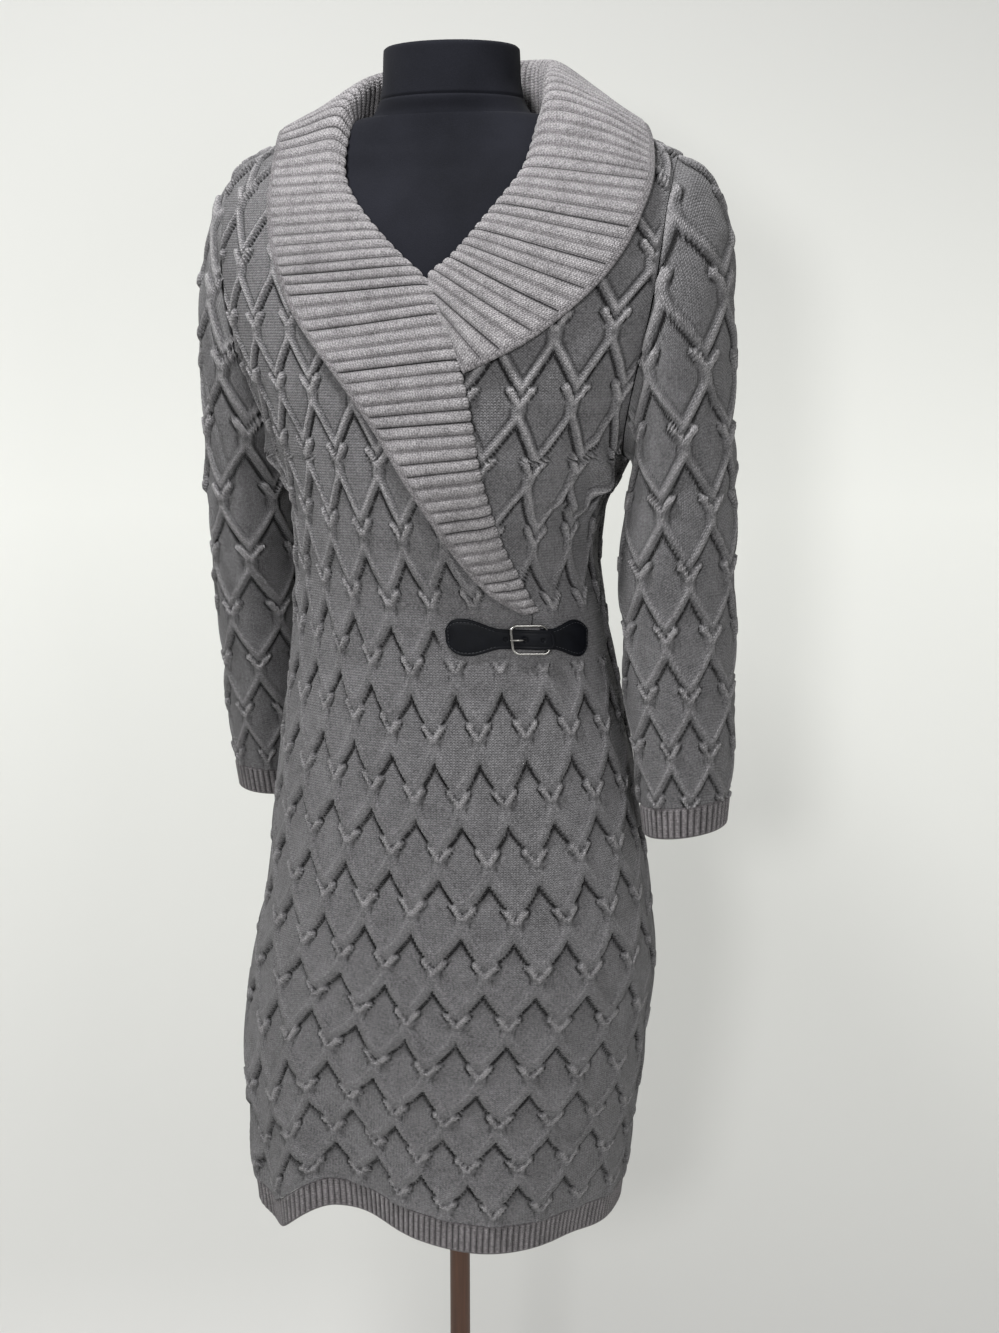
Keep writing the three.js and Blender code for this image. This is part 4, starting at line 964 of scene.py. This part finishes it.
def sleeve_rings(sign, table, steps):
    """Rings of a sleeve through its table, each with as many points as the armhole."""
    armhole = armhole_ring(sign, steps)
    count = len(armhole)
    index = np.arange(count)
    rings = [armhole]
    for row, (in_x, in_z, out_x, out_z, depth, y) in enumerate(table):
        inner, outer = np.array([in_x, y, in_z], float), np.array([out_x, y, out_z], float)
        across = (outer - inner) / np.linalg.norm(outer - inner)
        reach = np.linalg.norm(outer - inner) / 2
        even = np.pi * index / (count / 2)
        height = np.clip((2 * armhole[:, 2] - UNDERARM - SHOULDER) / (SHOULDER - UNDERARM), -1, 1)
        matched = np.where(index <= count / 2, np.arccos(-height), 2 * np.pi - np.arccos(-height))
        early = max(0, 1 - row / 3)
        turn = even + (matched - even) * early
        ring = (inner + outer) / 2 - np.cos(turn)[:, None] * reach * across
        ring[:, 1] -= np.sin(turn) * depth
        rings.append(ring)
    return np.array(rings)


sleeve_paths = {"left": sleeve_rings(-1, SLEEVE_LEFT, ARMHOLE_STEPS),
                "right": sleeve_rings(1, SLEEVE_RIGHT, ARMHOLE_STEPS)}
for side, path in sleeve_paths.items():
    places = even_places(path, 0, len(path) - 2, SLEEVE_ROW)
    grid = spline(path, places)[::-1]
    if side == "left":
        grid = grid[:, ::-1]
    turns = np.linspace(0, 1, grid.shape[1], endpoint=False)
    steps = np.linalg.norm(np.diff(grid, axis=0), axis=-1)
    outside = np.vstack([np.zeros(grid.shape[1]), np.cumsum(steps, axis=0)])
    down = np.max(outside, axis=0, keepdims=True) - outside
    down = 0.5 * down + 0.5 * down.mean(1, keepdims=True)
    share = down / down.max()
    pushed = np.zeros(grid.shape[:2])
    for at, turn, lean, length, width, depth in SLEEVE_CREASES:
        around = wrap_turn(360 * turns[None, :] - turn) * 0.9
        along = (share - at) * down.max()
        tilt = math.radians(lean)
        far = along * math.cos(tilt) + around * math.sin(tilt)
        near = around * math.cos(tilt) - along * math.sin(tilt)
        pushed += depth * np.exp(-(far / length) ** 2 - (near / width) ** 2) * smooth(0, 0.12, share)
    out = grid_normals(grid, True)
    grid = grid + out * pushed[..., None]
    out = grid_normals(grid, True)
    level = grid[..., 2]
    from_axis = grid[..., :2] - read_rows(SLEEVE_AXIS[side], level)
    turned_by = np.arctan2(from_axis[..., 0] / SLEEVE_HALF, -from_axis[..., 1] / SLEEVE_DEPTH)
    columns = turned_by / (2 * np.pi) * SLEEVE_COLUMNS
    numbers = read_rows(SLEEVE_ROWS, level)[..., 0]
    height, tone = cable_relief(columns + SLEEVE_OFFSET, numbers, 0.5 + 0.4 * smooth(1000, 1200, level))
    calm = smooth(0, 6, down)
    height = height * calm - 0.4 * (1 - calm)
    girth = np.linalg.norm(np.diff(grid, axis=1), axis=-1).sum(1).mean()
    uv = np.stack([np.broadcast_to(turns * girth, down.shape), -down], -1)
    outer = grid + out * height[..., None]
    inner = (grid - out * WALL)[::2, ::2]
    uv = np.vstack([uv.reshape(-1, 2), uv[::2, ::2].reshape(-1, 2)])
    painted_light_and_shade = np.concatenate([tone.ravel(), 0 * tone[::2, ::2].ravel()])
    sleeve = make_piece(f"sleeve_{side}_knit", tube_shell(outer, inner), cable_yarn, uv, {"painted_light_and_shade": painted_light_and_shade})
    stands_for(sleeve, f"sleeve_{side}")
    area, length = {"left": (0.121, 0.52), "right": (0.126, 0.53)}[side]

# ---- cuffs ---------------------------------------------------------------------------------------------
# Ribbed bands knitted on at the wrists, closed by the sleeve's own seam.
CUFF_PITCH = 5.5
CUFF_POINTS = 276

for side, path in sleeve_paths.items():
    wrist = path[-2:].copy()
    wrist[0, :, 2] -= SEAM
    places = np.linspace(0, 1, 21)[:, None, None]
    grid = (wrist[0] + (wrist[1] - wrist[0]) * places)[::-1]
    around = np.linspace(0, grid.shape[1], CUFF_POINTS, endpoint=False)
    fine = (around % 1)[None, :, None]
    low = around.astype(int)
    grid = grid[:, low] * (1 - fine) + grid[:, (low + 1) % grid.shape[1]] * fine
    if side == "left":
        grid = grid[:, ::-1]
    girth = np.linalg.norm(np.diff(grid[0], axis=0), axis=-1).sum()
    ribs = round(girth / CUFF_PITCH)
    runs = np.arange(CUFF_POINTS) / CUFF_POINTS * ribs * CUFF_PITCH
    cuff = rib_band(f"cuff_{side}_band", grid, CUFF_PITCH, runs, True)
    stands_for(cuff, f"cuff_{side}")

# ---- collar --------------------------------------------------------------------------------------------
# One long shawl collar in thick rib, its ribs across its length. It is sewn round the neck and down
# both fronts, rolls over and falls outwards; the wrapped side's end runs down to the tab.
COLLAR_WALL = 3.6
COLLAR_PITCH = 9.8
COLLAR_RAISED = 2.2
COLLAR_MESH = 1.6
YARN_COLLAR = "#817e80"
# The collar's ridge colour is a painted highlight on the ribs' crowns.
YARN_COLLAR_RIDGE_HIGHLIGHT = "#9c999b"
COLLAR_LIFT = COLLAR_WALL / 2 + 0.4
# The free edge on each front: height of the roll beside it, x, height and lift of the edge.
FALL_LEFT = [
    [1056, 80, 1056, 7], [1070, 62, 1070, 8], [1088, 49, 1085, 8.5], [1110, 36, 1106, 9],
    [1137, 22, 1131, 9.5], [1167, 5, 1160, 9.5], [1203, -20, 1197, 9.5], [1231, -38, 1222, 9.5],
    [1252, -55, 1242, 9], [1272, -71, 1260, 8.5], [1292, -88, 1280, 8], [1310, -104, 1305, 7.5],
    [1330, -114, 1325, 7], [1350, -122, 1347, 7], [1372, -128, 1370, 7], [1395, -131, 1393, 7],
]
FALL_RIGHT = [
    [1395, 171, 1384, 7], [1377, 166, 1362, 7], [1360, 158, 1339, 7], [1343, 142, 1313, 7.5],
    [1328, 117, 1287, 8], [1314, 90, 1266, 8], [1300, 68, 1254, 8], [1286, 46, 1244, 8],
]
# Round the neck, each as x, y, z: the stand's foot, the roll, the middle of the fall and its edge.
NECK = [
    [-77, -40, 1436, -83, -43, 1445, -110, -46, 1437, -134, -44, 1430],
    [-78, -12, 1448, -78, -14, 1467, -108, -14, 1453, -142, -13, 1435],
    [-72, 24, 1449, -70, 22, 1482, -98, 33, 1464, -130, 42, 1430],
    [-46, 50, 1449, -46, 56, 1491, -66, 76, 1472, -90, 90, 1425],
    [0, 61, 1449, 0, 72, 1494, 0, 97, 1475, 0, 110, 1421],
    [46, 50, 1449, 48, 56, 1492, 70, 76, 1474, 96, 90, 1426],
    [72, 24, 1449, 74, 22, 1485, 106, 33, 1466, 144, 42, 1430],
    [80, -12, 1448, 82, -14, 1471, 118, -14, 1455, 160, -13, 1431],
    [83, -38, 1438, 90, -42, 1448, 130, -40, 1438, 169, -34, 1416],
]


def fall_station(roll_z, edge_x, edge_z, edge_lift, rolls, over_wrap):
    """Four points across the collar on a front, from its roll to its free edge."""
    roll = np.array([read_rows(rolls, roll_z)[0], roll_z])
    reach = np.array([edge_x, edge_z]) - roll
    width = np.linalg.norm(reach)
    points = []
    lifts = (COLLAR_LIFT, COLLAR_LIFT + 2.2, COLLAR_LIFT + 2.6, max(edge_lift - COLLAR_WALL / 2, COLLAR_LIFT))
    for far, lift in zip((0, min(5, width * 0.3), width * 0.6, width), lifts):
        x, z = roll + reach / width * far
        angle = angle_of_x(x, z)
        lift = lift + (wrap_lift(angle, z) if over_wrap else 0)
        points.append(cloth_point(angle, np.asarray(z), np.asarray(lift)))
    return points


stations = [fall_station(*row, ROLL_LEFT, True) for row in FALL_LEFT]
stations += [np.array(row, float).reshape(4, 3) for row in NECK]
stations += [fall_station(*row, ROLL_RIGHT, False) for row in FALL_RIGHT]
stations = np.array(stations)
along = even_places(stations[:, 2:3], 0, len(stations) - 1, COLLAR_MESH)
strips = spline(stations, along).transpose(1, 0, 2)
across = np.concatenate([np.linspace(0, 1, 6), np.linspace(1, 2, 26)[1:], np.linspace(2, 3, 20)[1:]])
middle = spline(strips, across).transpose(1, 0, 2)
facing = np.cross(np.gradient(middle, axis=0), np.gradient(middle, axis=1))
facing /= np.linalg.norm(facing, axis=-1, keepdims=True)
run = distance_along(middle[:, 25])
width_run = np.linalg.norm(np.diff(middle, axis=1), axis=-1)
width_run = np.concatenate([np.zeros((len(middle), 1)), np.cumsum(width_run, axis=1)], axis=1)
half_wall = COLLAR_WALL / 2
top = middle + facing * half_wall
below = (middle - facing * half_wall)[:, ::2][:, ::-1]


def lip(edge, outward, start, radius):
    """A half-round edge from the upper side to the under side."""
    turns = np.radians([36, 72, 108, 144])
    rows = [edge + start * half_wall * math.cos(t) + outward * radius * math.sin(t) for t in turns]
    return np.stack(rows, 1)


def unit(v):
    return v / np.linalg.norm(v, axis=-1, keepdims=True)


free_lip = lip(middle[:, -1], unit(middle[:, -1] - middle[:, -2]), facing[:, -1], 1.8)
roll_lip = lip(middle[:, 0], unit(middle[:, 0] - middle[:, 1]), facing[:, 0], 3.2)[:, ::-1]
loop = np.concatenate([top, free_lip, below, roll_lip], axis=1)
from_edge = width_run[:, -1:] - width_run
top_shown = smooth(1.5, 5, from_edge)
zero_lip = np.zeros((len(middle), 4))
below_shown = 0.8 * top_shown[:, ::2][:, ::-1]
rib_shown = np.concatenate([top_shown, zero_lip, below_shown, zero_lip + 1], axis=1)
rib_count = np.broadcast_to((run / COLLAR_PITCH)[:, None], rib_shown.shape)
place_across = np.concatenate([width_run, zero_lip + width_run[:, -1:], width_run[:, ::2][:, ::-1], zero_lip],
                              axis=1)
uv = np.stack([np.broadcast_to(run[:, None], rib_shown.shape), place_across], -1).reshape(-1, 2)
uv = np.vstack([uv, uv[:1], uv[-1:]])
marks = {"rib": np.append(rib_count.ravel(), [rib_count[0, 0], rib_count[-1, 0]]),
         "rib_shown": np.append(rib_shown.ravel(), [0, 0])}
collar_yarn = heather_knit("heather_thick_rib", YARN_GROOVE_SHADE, YARN_COLLAR, YARN_COLLAR_RIDGE_HIGHLIGHT, 2.6, 2.2)
collar = make_piece("shawl_collar_rib", ring_faces(loop), collar_yarn, uv, marks)
collar = apply_tree(collar, knitted_ribs, {"Rib height": COLLAR_RAISED / 2 * MM, "Groove sharpness": 3.4,
                                           "Yarn": collar_yarn})
stands_for(collar, "collar")

# ---- leather tab ---------------------------------------------------------------------------------------
# Two paddles of black full-grain leather, stitched to the dress near their edges. The left one
# narrows to a strap with three holes, which passes over the buckle's bar.
STRAP_THICK = 1.8
FRAME_WIRE = 2.3
FRAME_LIFT = 3
LEFT_TIP = -66
STRAP_END = 19
RIGHT_TIP = 55
RIGHT_START = 10.5
HOLES = [(-19, 1.5), (-4, 2.4), (9, 1.5)]
LEATHER_DARK = "#07080b"
LEATHER_LIGHT = "#12141a"
LEATHER_GRAIN = 0.8
STITCH_INSET = 2.6

tab_angles = angle_of_x(TAB_X, TAB_Z) + np.arange(-50, 50, 0.25)
tab_run = distance_along(body_point(tab_angles, TAB_Z))
tab_run -= np.interp(angle_of_x(TAB_X, TAB_Z), tab_angles, tab_run)


def tab_point(u, v, w):
    """A point of the tab: u along it round the body, v up and w out from the knitting."""
    u, v, w = np.broadcast_arrays(*[np.asarray(k, float) for k in (u, v, w)])
    return cloth_point(np.interp(u, tab_run, tab_angles), TAB_Z + v + TAB_SLOPE * u, w)


def leaf(from_tip, length, belly, neck_half):
    """Half height of a paddle: round tip, wide belly, narrow neck."""
    round_tip = np.sqrt(np.clip(1 - ((from_tip - 13) / 13.5) ** 2, 0.002, 1))
    share = np.clip(from_tip / length, 0, 1)
    return np.where(from_tip < 13, belly * round_tip, belly + (neck_half - belly) * smooth(0.28, 0.78, share))


def strap_half(u):
    tail = 8 * np.sqrt(np.clip(1 - (np.maximum(u - STRAP_END + 6, 0) / 6.2) ** 2, 0.01, 1))
    return np.where(u < -8, leaf(u - LEFT_TIP, 58, 15, 8), np.where(u > STRAP_END - 6, tail, 8))


def strap_under(u):
    return 0.55 + (FRAME_LIFT + FRAME_WIRE - 0.1) * smooth(-9, 11, u) + 0.3 * smooth(-30, -18, u)


def paddle_half(u):
    return leaf(RIGHT_TIP - u, 46, 15, 8.5)


def paddle_under(u):
    return 0.4 + 0 * u


def leather_piece(name, us, half, under, holes):
    """A strip of leather with rounded edges, a pressed line inside them and punched holes."""
    count = 41
    share = np.cos(np.linspace(np.pi, 0, count))[None, :]
    u = us[:, None] + 0 * share
    width = half(us)[:, None]
    v = width * share
    ends = np.minimum(us - us[0], us[-1] - us)[:, None]
    edge = np.minimum(width * (1 - np.abs(share)), ends)
    crown = np.sqrt(np.clip(1 - (1 - np.clip(edge / 1.3, 0, 1)) ** 2, 0, 1))
    press = 0.32 * np.exp(-((edge - STITCH_INSET) / 0.45) ** 2)
    top = under(us)[:, None] + STRAP_THICK * (0.45 + 0.55 * crown) + 0.35 * smooth(0, 9, edge) - press
    for at, radius in holes:
        top = top - 1.5 * smooth(radius + 0.45, radius - 0.3, np.hypot(u - at, v))
    upper = tab_point(u, v, top)
    lower = tab_point(u, v, under(us)[:, None] + 0.2 * (1 - crown))
    points, quads, strips = sheet_shell(list(upper), list(lower[::2, ::2]))
    return make_piece(name, (points, quads, strips), leather, sharp=60)


# Full-grain leather, dyed through and waxed: a fine pebble and a soft, slightly uneven satin shine.
def waxed_leather(name):
    finish, tree = new_finish(name)
    place = add_node(tree, "ShaderNodeTexCoord", {}, {})
    pebble = add_node(tree, "ShaderNodeTexVoronoi", {}, {"Vector": place.outputs["Object"],
                      "Scale": 1 / (LEATHER_GRAIN * MM)})
    cloud = add_node(tree, "ShaderNodeTexNoise", {}, {"Vector": place.outputs["Object"], "Scale": 120,
                     "Detail": 4})
    colour = add_node(tree, "ShaderNodeMix", {"data_type": "RGBA"}, {0: cloud, 6: linear(LEATHER_DARK),
                      7: linear(LEATHER_LIGHT)})
    bump = add_node(tree, "ShaderNodeBump", {}, {"Height": pebble, "Strength": 0.35, "Distance": 0.0002})
    shine = add_node(tree, "ShaderNodeMapRange", {}, {"Value": cloud, "To Min": 0.34, "To Max": 0.56})
    skin = add_node(tree, "ShaderNodeBsdfPrincipled", {}, {"Base Color": colour.outputs[2],
                    "Roughness": shine, "Specular IOR Level": 0.12, "Normal": bump})
    add_node(tree, "ShaderNodeOutputMaterial", {}, {0: skin})
    return finish


leather = waxed_leather("black_waxed_leather")
strap_us = np.concatenate([LEFT_TIP + np.array([0, 0.15, 0.5, 1.0]),
                           np.linspace(LEFT_TIP + 1.6, STRAP_END - 1, 160),
                           [STRAP_END - 0.6, STRAP_END - 0.3, STRAP_END]])
strap_us = strap_us if len(strap_us) % 2 else strap_us[:-1]
strap = leather_piece("buckle_strap_leather", strap_us, strap_half, strap_under, HOLES)
stands_for(strap, "tab_left")
paddle_us = np.concatenate([np.linspace(RIGHT_START, RIGHT_TIP - 1.6, 90),
                            RIGHT_TIP - np.array([1.0, 0.5, 0.15, 0])])
paddle_us = paddle_us if len(paddle_us) % 2 else np.delete(paddle_us, 1)
paddle = leather_piece("buckle_paddle_leather", paddle_us, paddle_half, paddle_under, [])
stands_for(paddle, "tab_right")

# ---- tab stitches --------------------------------------------------------------------------------------
# Black waxed thread, in a running line pressed into each paddle just inside its edge.
THREAD = "#1b1c20"
THREAD_LIGHT = "#34363c"
THREAD_STEP = 2.9
THREAD_LONG = 2.0
THREAD_THICK = 0.55


def thread_tree():
    """Lays short rounded stitches end to end along a line."""
    tree = bpy.data.node_groups.new("running_stitches", "GeometryNodeTree")
    tree.interface.new_socket("Geometry", in_out="INPUT", socket_type="NodeSocketGeometry")
    for label, start in (("Step", 0.003), ("Stitch length", 0.002), ("Thread radius", 0.0003)):
        tree.interface.new_socket(label, in_out="INPUT", socket_type="NodeSocketFloat").default_value = start
    tree.interface.new_socket("Thread", in_out="INPUT", socket_type="NodeSocketMaterial")
    tree.interface.new_socket("Geometry", in_out="OUTPUT", socket_type="NodeSocketGeometry")
    given = add_node(tree, "NodeGroupInput", {}, {})
    line = add_node(tree, "GeometryNodeMeshToCurve", {}, {0: given})
    even = add_node(tree, "GeometryNodeResampleCurve", {"mode": "LENGTH"}, {0: line,
                    "Length": given.outputs[1]})
    along = add_node(tree, "GeometryNodeInputTangent", {}, {})
    turn = add_node(tree, "FunctionNodeAlignRotationToVector", {"axis": "Z"}, {"Vector": along})
    bead = add_node(tree, "GeometryNodeMeshUVSphere", {}, {"Segments": 8, "Rings": 6, "Radius": 1})
    slim = add_node(tree, "ShaderNodeCombineXYZ", {}, {0: given.outputs[3], 1: given.outputs[3],
                    2: given.outputs[2]})
    laid = add_node(tree, "GeometryNodeInstanceOnPoints", {}, {0: even, "Instance": bead,
                    "Rotation": turn, "Scale": slim})
    real = add_node(tree, "GeometryNodeRealizeInstances", {}, {0: laid})
    dressed = add_node(tree, "GeometryNodeSetMaterial", {}, {0: real, "Material": given.outputs[4]})
    add_node(tree, "NodeGroupOutput", {}, {0: dressed})
    return tree


# Waxed polyester thread: nearly black, finely flecked by its twist, with a slight shine.
def waxed_thread(name):
    finish, tree = new_finish(name)
    place = add_node(tree, "ShaderNodeTexCoord", {}, {})
    twist = add_node(tree, "ShaderNodeTexNoise", {}, {"Vector": place.outputs["Object"], "Scale": 4000})
    tone = add_node(tree, "ShaderNodeMix", {"data_type": "RGBA"}, {0: twist, 6: linear(THREAD),
                    7: linear(THREAD_LIGHT)})
    skin = add_node(tree, "ShaderNodeBsdfPrincipled", {}, {"Base Color": tone.outputs[2], "Roughness": 0.5})
    add_node(tree, "ShaderNodeOutputMaterial", {}, {0: skin})
    return finish


def stitch_line(name, us, half, under):
    """A line of stitches round a paddle, open at its neck end."""
    v = np.maximum(half(us) - STITCH_INSET, 0.1)
    w = under(us) + STRAP_THICK + 0.2
    path = np.vstack([tab_point(us, v, w), tab_point(us[::-1], -v[::-1], w[::-1])])
    mesh = bpy.data.meshes.new(name)
    mesh.from_pydata((path * MM).tolist(), [(i, i + 1) for i in range(len(path) - 1)], [])
    line = bpy.data.objects.new(name, mesh)
    bpy.context.scene.collection.objects.link(line)
    values = {"Step": THREAD_STEP * MM, "Stitch length": THREAD_LONG / 2 * MM,
              "Thread radius": THREAD_THICK / 2 * MM, "Thread": thread}
    apply_tree(line, running_stitches, values)
    line.data.shade_smooth()
    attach(line, "root")
    return line


thread = waxed_thread("black_waxed_thread")
running_stitches = thread_tree()
stitch_line("strap_stitches", np.linspace(-28, LEFT_TIP + STITCH_INSET, 60), strap_half, strap_under)
stitch_line("paddle_stitches", np.linspace(22, RIGHT_TIP - STITCH_INSET, 50), paddle_half, paddle_under)

# ---- buckle --------------------------------------------------------------------------------------------
# A small frame buckle of round nickel-plated wire with softly square corners, and its prong, hooked
# on the +X bar and resting on the other.
FRAME_HALF_U = 15.5
FRAME_HALF_V = 12.5
FRAME_CORNER = 5
PRONG_RADIUS = 0.8
PRONG_PATH = [[11.3, 3.4], [9.5, 3.1], [6, 1.3], [1, 1.2], [-1.9, 1.25], [-4.1, 3.1], [-6.2, 5.1], [-10, 6.3],
              [-14, 6.4], [-16, 6.4]]
NICKEL = "#c9c7c4"
NICKEL_DULL = "#8d8b88"


# Nickel plate on steel wire: bright, a little wavy, dulled by handling.
def nickel_plate(name):
    finish, tree = new_finish(name)
    place = add_node(tree, "ShaderNodeTexCoord", {}, {})
    wear = add_node(tree, "ShaderNodeTexNoise", {}, {"Vector": place.outputs["Object"], "Scale": 260,
                    "Detail": 4})
    colour = add_node(tree, "ShaderNodeMix", {"data_type": "RGBA"}, {0: wear, 6: linear(NICKEL_DULL),
                      7: linear(NICKEL)})
    shine = add_node(tree, "ShaderNodeMapRange", {}, {"Value": wear, "To Min": 0.14, "To Max": 0.34})
    bump = add_node(tree, "ShaderNodeBump", {}, {"Height": wear, "Strength": 0.15, "Distance": 0.0003})
    skin = add_node(tree, "ShaderNodeBsdfPrincipled", {}, {"Base Color": colour.outputs[2], "Metallic": 1,
                    "Roughness": shine, "Normal": bump})
    add_node(tree, "ShaderNodeOutputMaterial", {}, {0: skin})
    return finish


nickel = nickel_plate("nickel_plate")
wire = FRAME_WIRE / 2
frame_path = []
for side_u, side_v, first in ((1, 1, 0), (-1, 1, 90), (-1, -1, 180), (1, -1, 270)):
    for turn in np.radians(first + np.linspace(0, 90, 10)):
        frame_path.append([side_u * (FRAME_HALF_U - wire - FRAME_CORNER) + FRAME_CORNER * math.cos(turn),
                           side_v * (FRAME_HALF_V - wire - FRAME_CORNER) + FRAME_CORNER * math.sin(turn)])
frame_path = np.array(frame_path)
ways = np.roll(frame_path, -1, 0) - np.roll(frame_path, 1, 0)
ways /= np.linalg.norm(ways, axis=1, keepdims=True)
wire_turn = np.linspace(0, 2 * np.pi, 16, endpoint=False)[None, :]
frame_rings = tab_point(frame_path[:, :1] + ways[:, 1:] * wire * np.cos(wire_turn),
                        frame_path[:, 1:] - ways[:, :1] * wire * np.cos(wire_turn),
                        FRAME_LIFT + wire + wire * np.sin(wire_turn))
buckle = make_piece("buckle_frame_nickel", ring_faces(frame_rings, closed=True), nickel)
stands_for(buckle, "buckle_frame")

prong_points = np.array([[u, 0, w] for u, w in PRONG_PATH], float)
prong_path = spline(prong_points, np.linspace(0, len(PRONG_PATH) - 1, 60))
prong_way = unit(np.gradient(prong_path, axis=0))
prong_turn = np.linspace(0, 2 * np.pi, 14, endpoint=False)[None, :]
taper = PRONG_RADIUS * (1 - 0.35 * smooth(0.8, 1, np.linspace(0, 1, 60)))[:, None]
prong_rings = tab_point(prong_path[:, :1] - prong_way[:, 2:] * taper * np.cos(prong_turn),
                        taper * np.sin(prong_turn),
                        prong_path[:, 2:] + prong_way[:, :1] * taper * np.cos(prong_turn))
prong = make_piece("buckle_prong_nickel", ring_faces(prong_rings), nickel)
stands_for(prong, "buckle_prong")

# ---- backdrop, lights and camera -----------------------------------------------------------------------
# A pale seamless sheet that curves up from the floor close behind the object. Two small lamps, one above
# and one just left of the camera, throw its soft shadow, and a larger one on the right fills in.
FLOOR_FRONT = 3.2
WALL_BACK = 0.44
COVE = 0.22
# The sheet's top and foot colours are painted shade, darker than its middle.
SHEET_TOP_SHADE = "#b8b8b6"
SHEET_MIDDLE = "#f2f3ee"
SHEET_FOOT_SHADE = "#dededb"
CAMERA_TURN = 18             # degrees towards +X
CAMERA_FAR = 1.5
CAMERA_HIGH = 1.265
AIM_HIGH = 0.995
AIM_SIDE = 0.0357
LENS = 48.4
PAPER_SEEN = 0.4             # how much of the sheet's paleness is its own, and takes no shadow

view_turn = math.radians(CAMERA_TURN)
toward = Vector((math.sin(view_turn), -math.cos(view_turn), 0))
sideways = Vector((math.cos(view_turn), math.sin(view_turn), 0))

profile = [(-FLOOR_FRONT, 0), (0, 0), (WALL_BACK - COVE, 0)]
profile += [(WALL_BACK - COVE + COVE * math.sin(t), COVE - COVE * math.cos(t))
            for t in np.linspace(0.1, math.pi / 2, 16)]
profile += [(WALL_BACK, z) for z in (0.6, 1.2, 1.8, 2.6)]
strip = []
for away, z in profile:
    for far in (-3.2, 3.2):
        strip.append(-toward * away + sideways * far + Vector((0, 0, z)))
sheet_mesh = bpy.data.meshes.new("backdrop")
sheet_mesh.from_pydata(strip, [], [(2 * i, 2 * i + 1, 2 * i + 3, 2 * i + 2) for i in range(len(profile) - 1)])
sheet_mesh.shade_smooth()
backdrop = bpy.data.objects.new("backdrop", sheet_mesh)
bpy.context.scene.collection.objects.link(backdrop)

# Matt paper with painted shade: darker from the middle towards the top and the foot. Part of its paleness is
# a glow, seen by the camera and in reflections. Its back is see-through, so that the object shows from behind
# too.
paper, tree = new_finish("matt_paper")
place = add_node(tree, "ShaderNodeTexCoord", {}, {})
height = add_node(tree, "ShaderNodeSeparateXYZ", {}, {0: place.outputs["Object"]})
ramp = add_node(tree, "ShaderNodeMapRange", {}, {"Value": height.outputs[2], "From Min": 0.1,
                "From Max": 1.9})
painted_shade_grade = add_node(tree, "ShaderNodeValToRGB", {}, {0: ramp})
painted_shade_grade.color_ramp.elements[0].color = linear(SHEET_FOOT_SHADE)
painted_shade_grade.color_ramp.elements[1].color = linear(SHEET_TOP_SHADE)
middle_stop = painted_shade_grade.color_ramp.elements.new(0.55)
middle_stop.color = linear(SHEET_MIDDLE)
lit = add_node(tree, "ShaderNodeBsdfDiffuse", {}, {"Color": painted_shade_grade})
seen = add_node(tree, "ShaderNodeEmission", {}, {"Color": painted_shade_grade, "Strength": 1})
rays = add_node(tree, "ShaderNodeLightPath", {}, {})
mirrored = add_node(tree, "ShaderNodeMath", {"operation": "MAXIMUM"}, {0: rays.outputs["Is Camera Ray"],
                    1: rays.outputs["Is Glossy Ray"]})
share = add_node(tree, "ShaderNodeMath", {"operation": "MULTIPLY"}, {0: mirrored, 1: PAPER_SEEN})
front_side = add_node(tree, "ShaderNodeMixShader", {}, {0: share, 1: lit, 2: seen})
clear = add_node(tree, "ShaderNodeBsdfTransparent", {}, {})
facing_way = add_node(tree, "ShaderNodeNewGeometry", {}, {})
skin = add_node(tree, "ShaderNodeMixShader", {}, {0: facing_way.outputs["Backfacing"], 1: front_side,
                2: clear})
add_node(tree, "ShaderNodeOutputMaterial", {}, {0: skin})
sheet_mesh.materials.append(paper)


def soft_lamp(name, place, aim, size, power):
    data = bpy.data.lights.new(name, "AREA")
    data.shape = "DISK"
    data.size = size
    data.energy = power
    lamp = bpy.data.objects.new(name, data)
    lamp.location = place
    lamp.rotation_euler = (Vector(aim) - Vector(place)).to_track_quat("-Z", "Y").to_euler()
    bpy.context.scene.collection.objects.link(lamp)
    return lamp


soft_lamp("top_lamp", (-0.3, -0.72, 2.75), (0, 0, 1.0), 0.35, 33)
soft_lamp("key_by_camera", (0.2, -2.3, 1.5), (0, 0, 1.0), 0.35, 21)
soft_lamp("fill_right", (2.0, -1.6, 1.6), (0, 0.1, 0.95), 1.0, 11)

world = bpy.data.worlds.new("studio")
bpy.context.scene.world = world
world.use_nodes = True
world.node_tree.nodes.clear()
glow = add_node(world.node_tree, "ShaderNodeBackground", {}, {"Color": linear("#f4f4f2"), "Strength": 0.27})
pale = add_node(world.node_tree, "ShaderNodeBackground", {}, {"Color": linear(SHEET_MIDDLE), "Strength": 1})
world_rays = add_node(world.node_tree, "ShaderNodeLightPath", {}, {})
sky = add_node(world.node_tree, "ShaderNodeMixShader", {}, {0: world_rays.outputs["Is Camera Ray"],
               1: glow, 2: pale})
add_node(world.node_tree, "ShaderNodeOutputWorld", {}, {0: sky})

camera_data = bpy.data.cameras.new("camera")
camera_data.lens = LENS
camera_data.sensor_width = 36
camera = bpy.data.objects.new("camera", camera_data)
camera.location = toward * CAMERA_FAR + Vector((0, 0, CAMERA_HIGH))
aim = sideways * AIM_SIDE + Vector((0, 0, AIM_HIGH))
camera.rotation_euler = (aim - camera.location).to_track_quat("-Z", "Y").to_euler()
bpy.context.scene.collection.objects.link(camera)
bpy.context.scene.camera = camera
bpy.context.scene.view_settings.view_transform = "Standard"
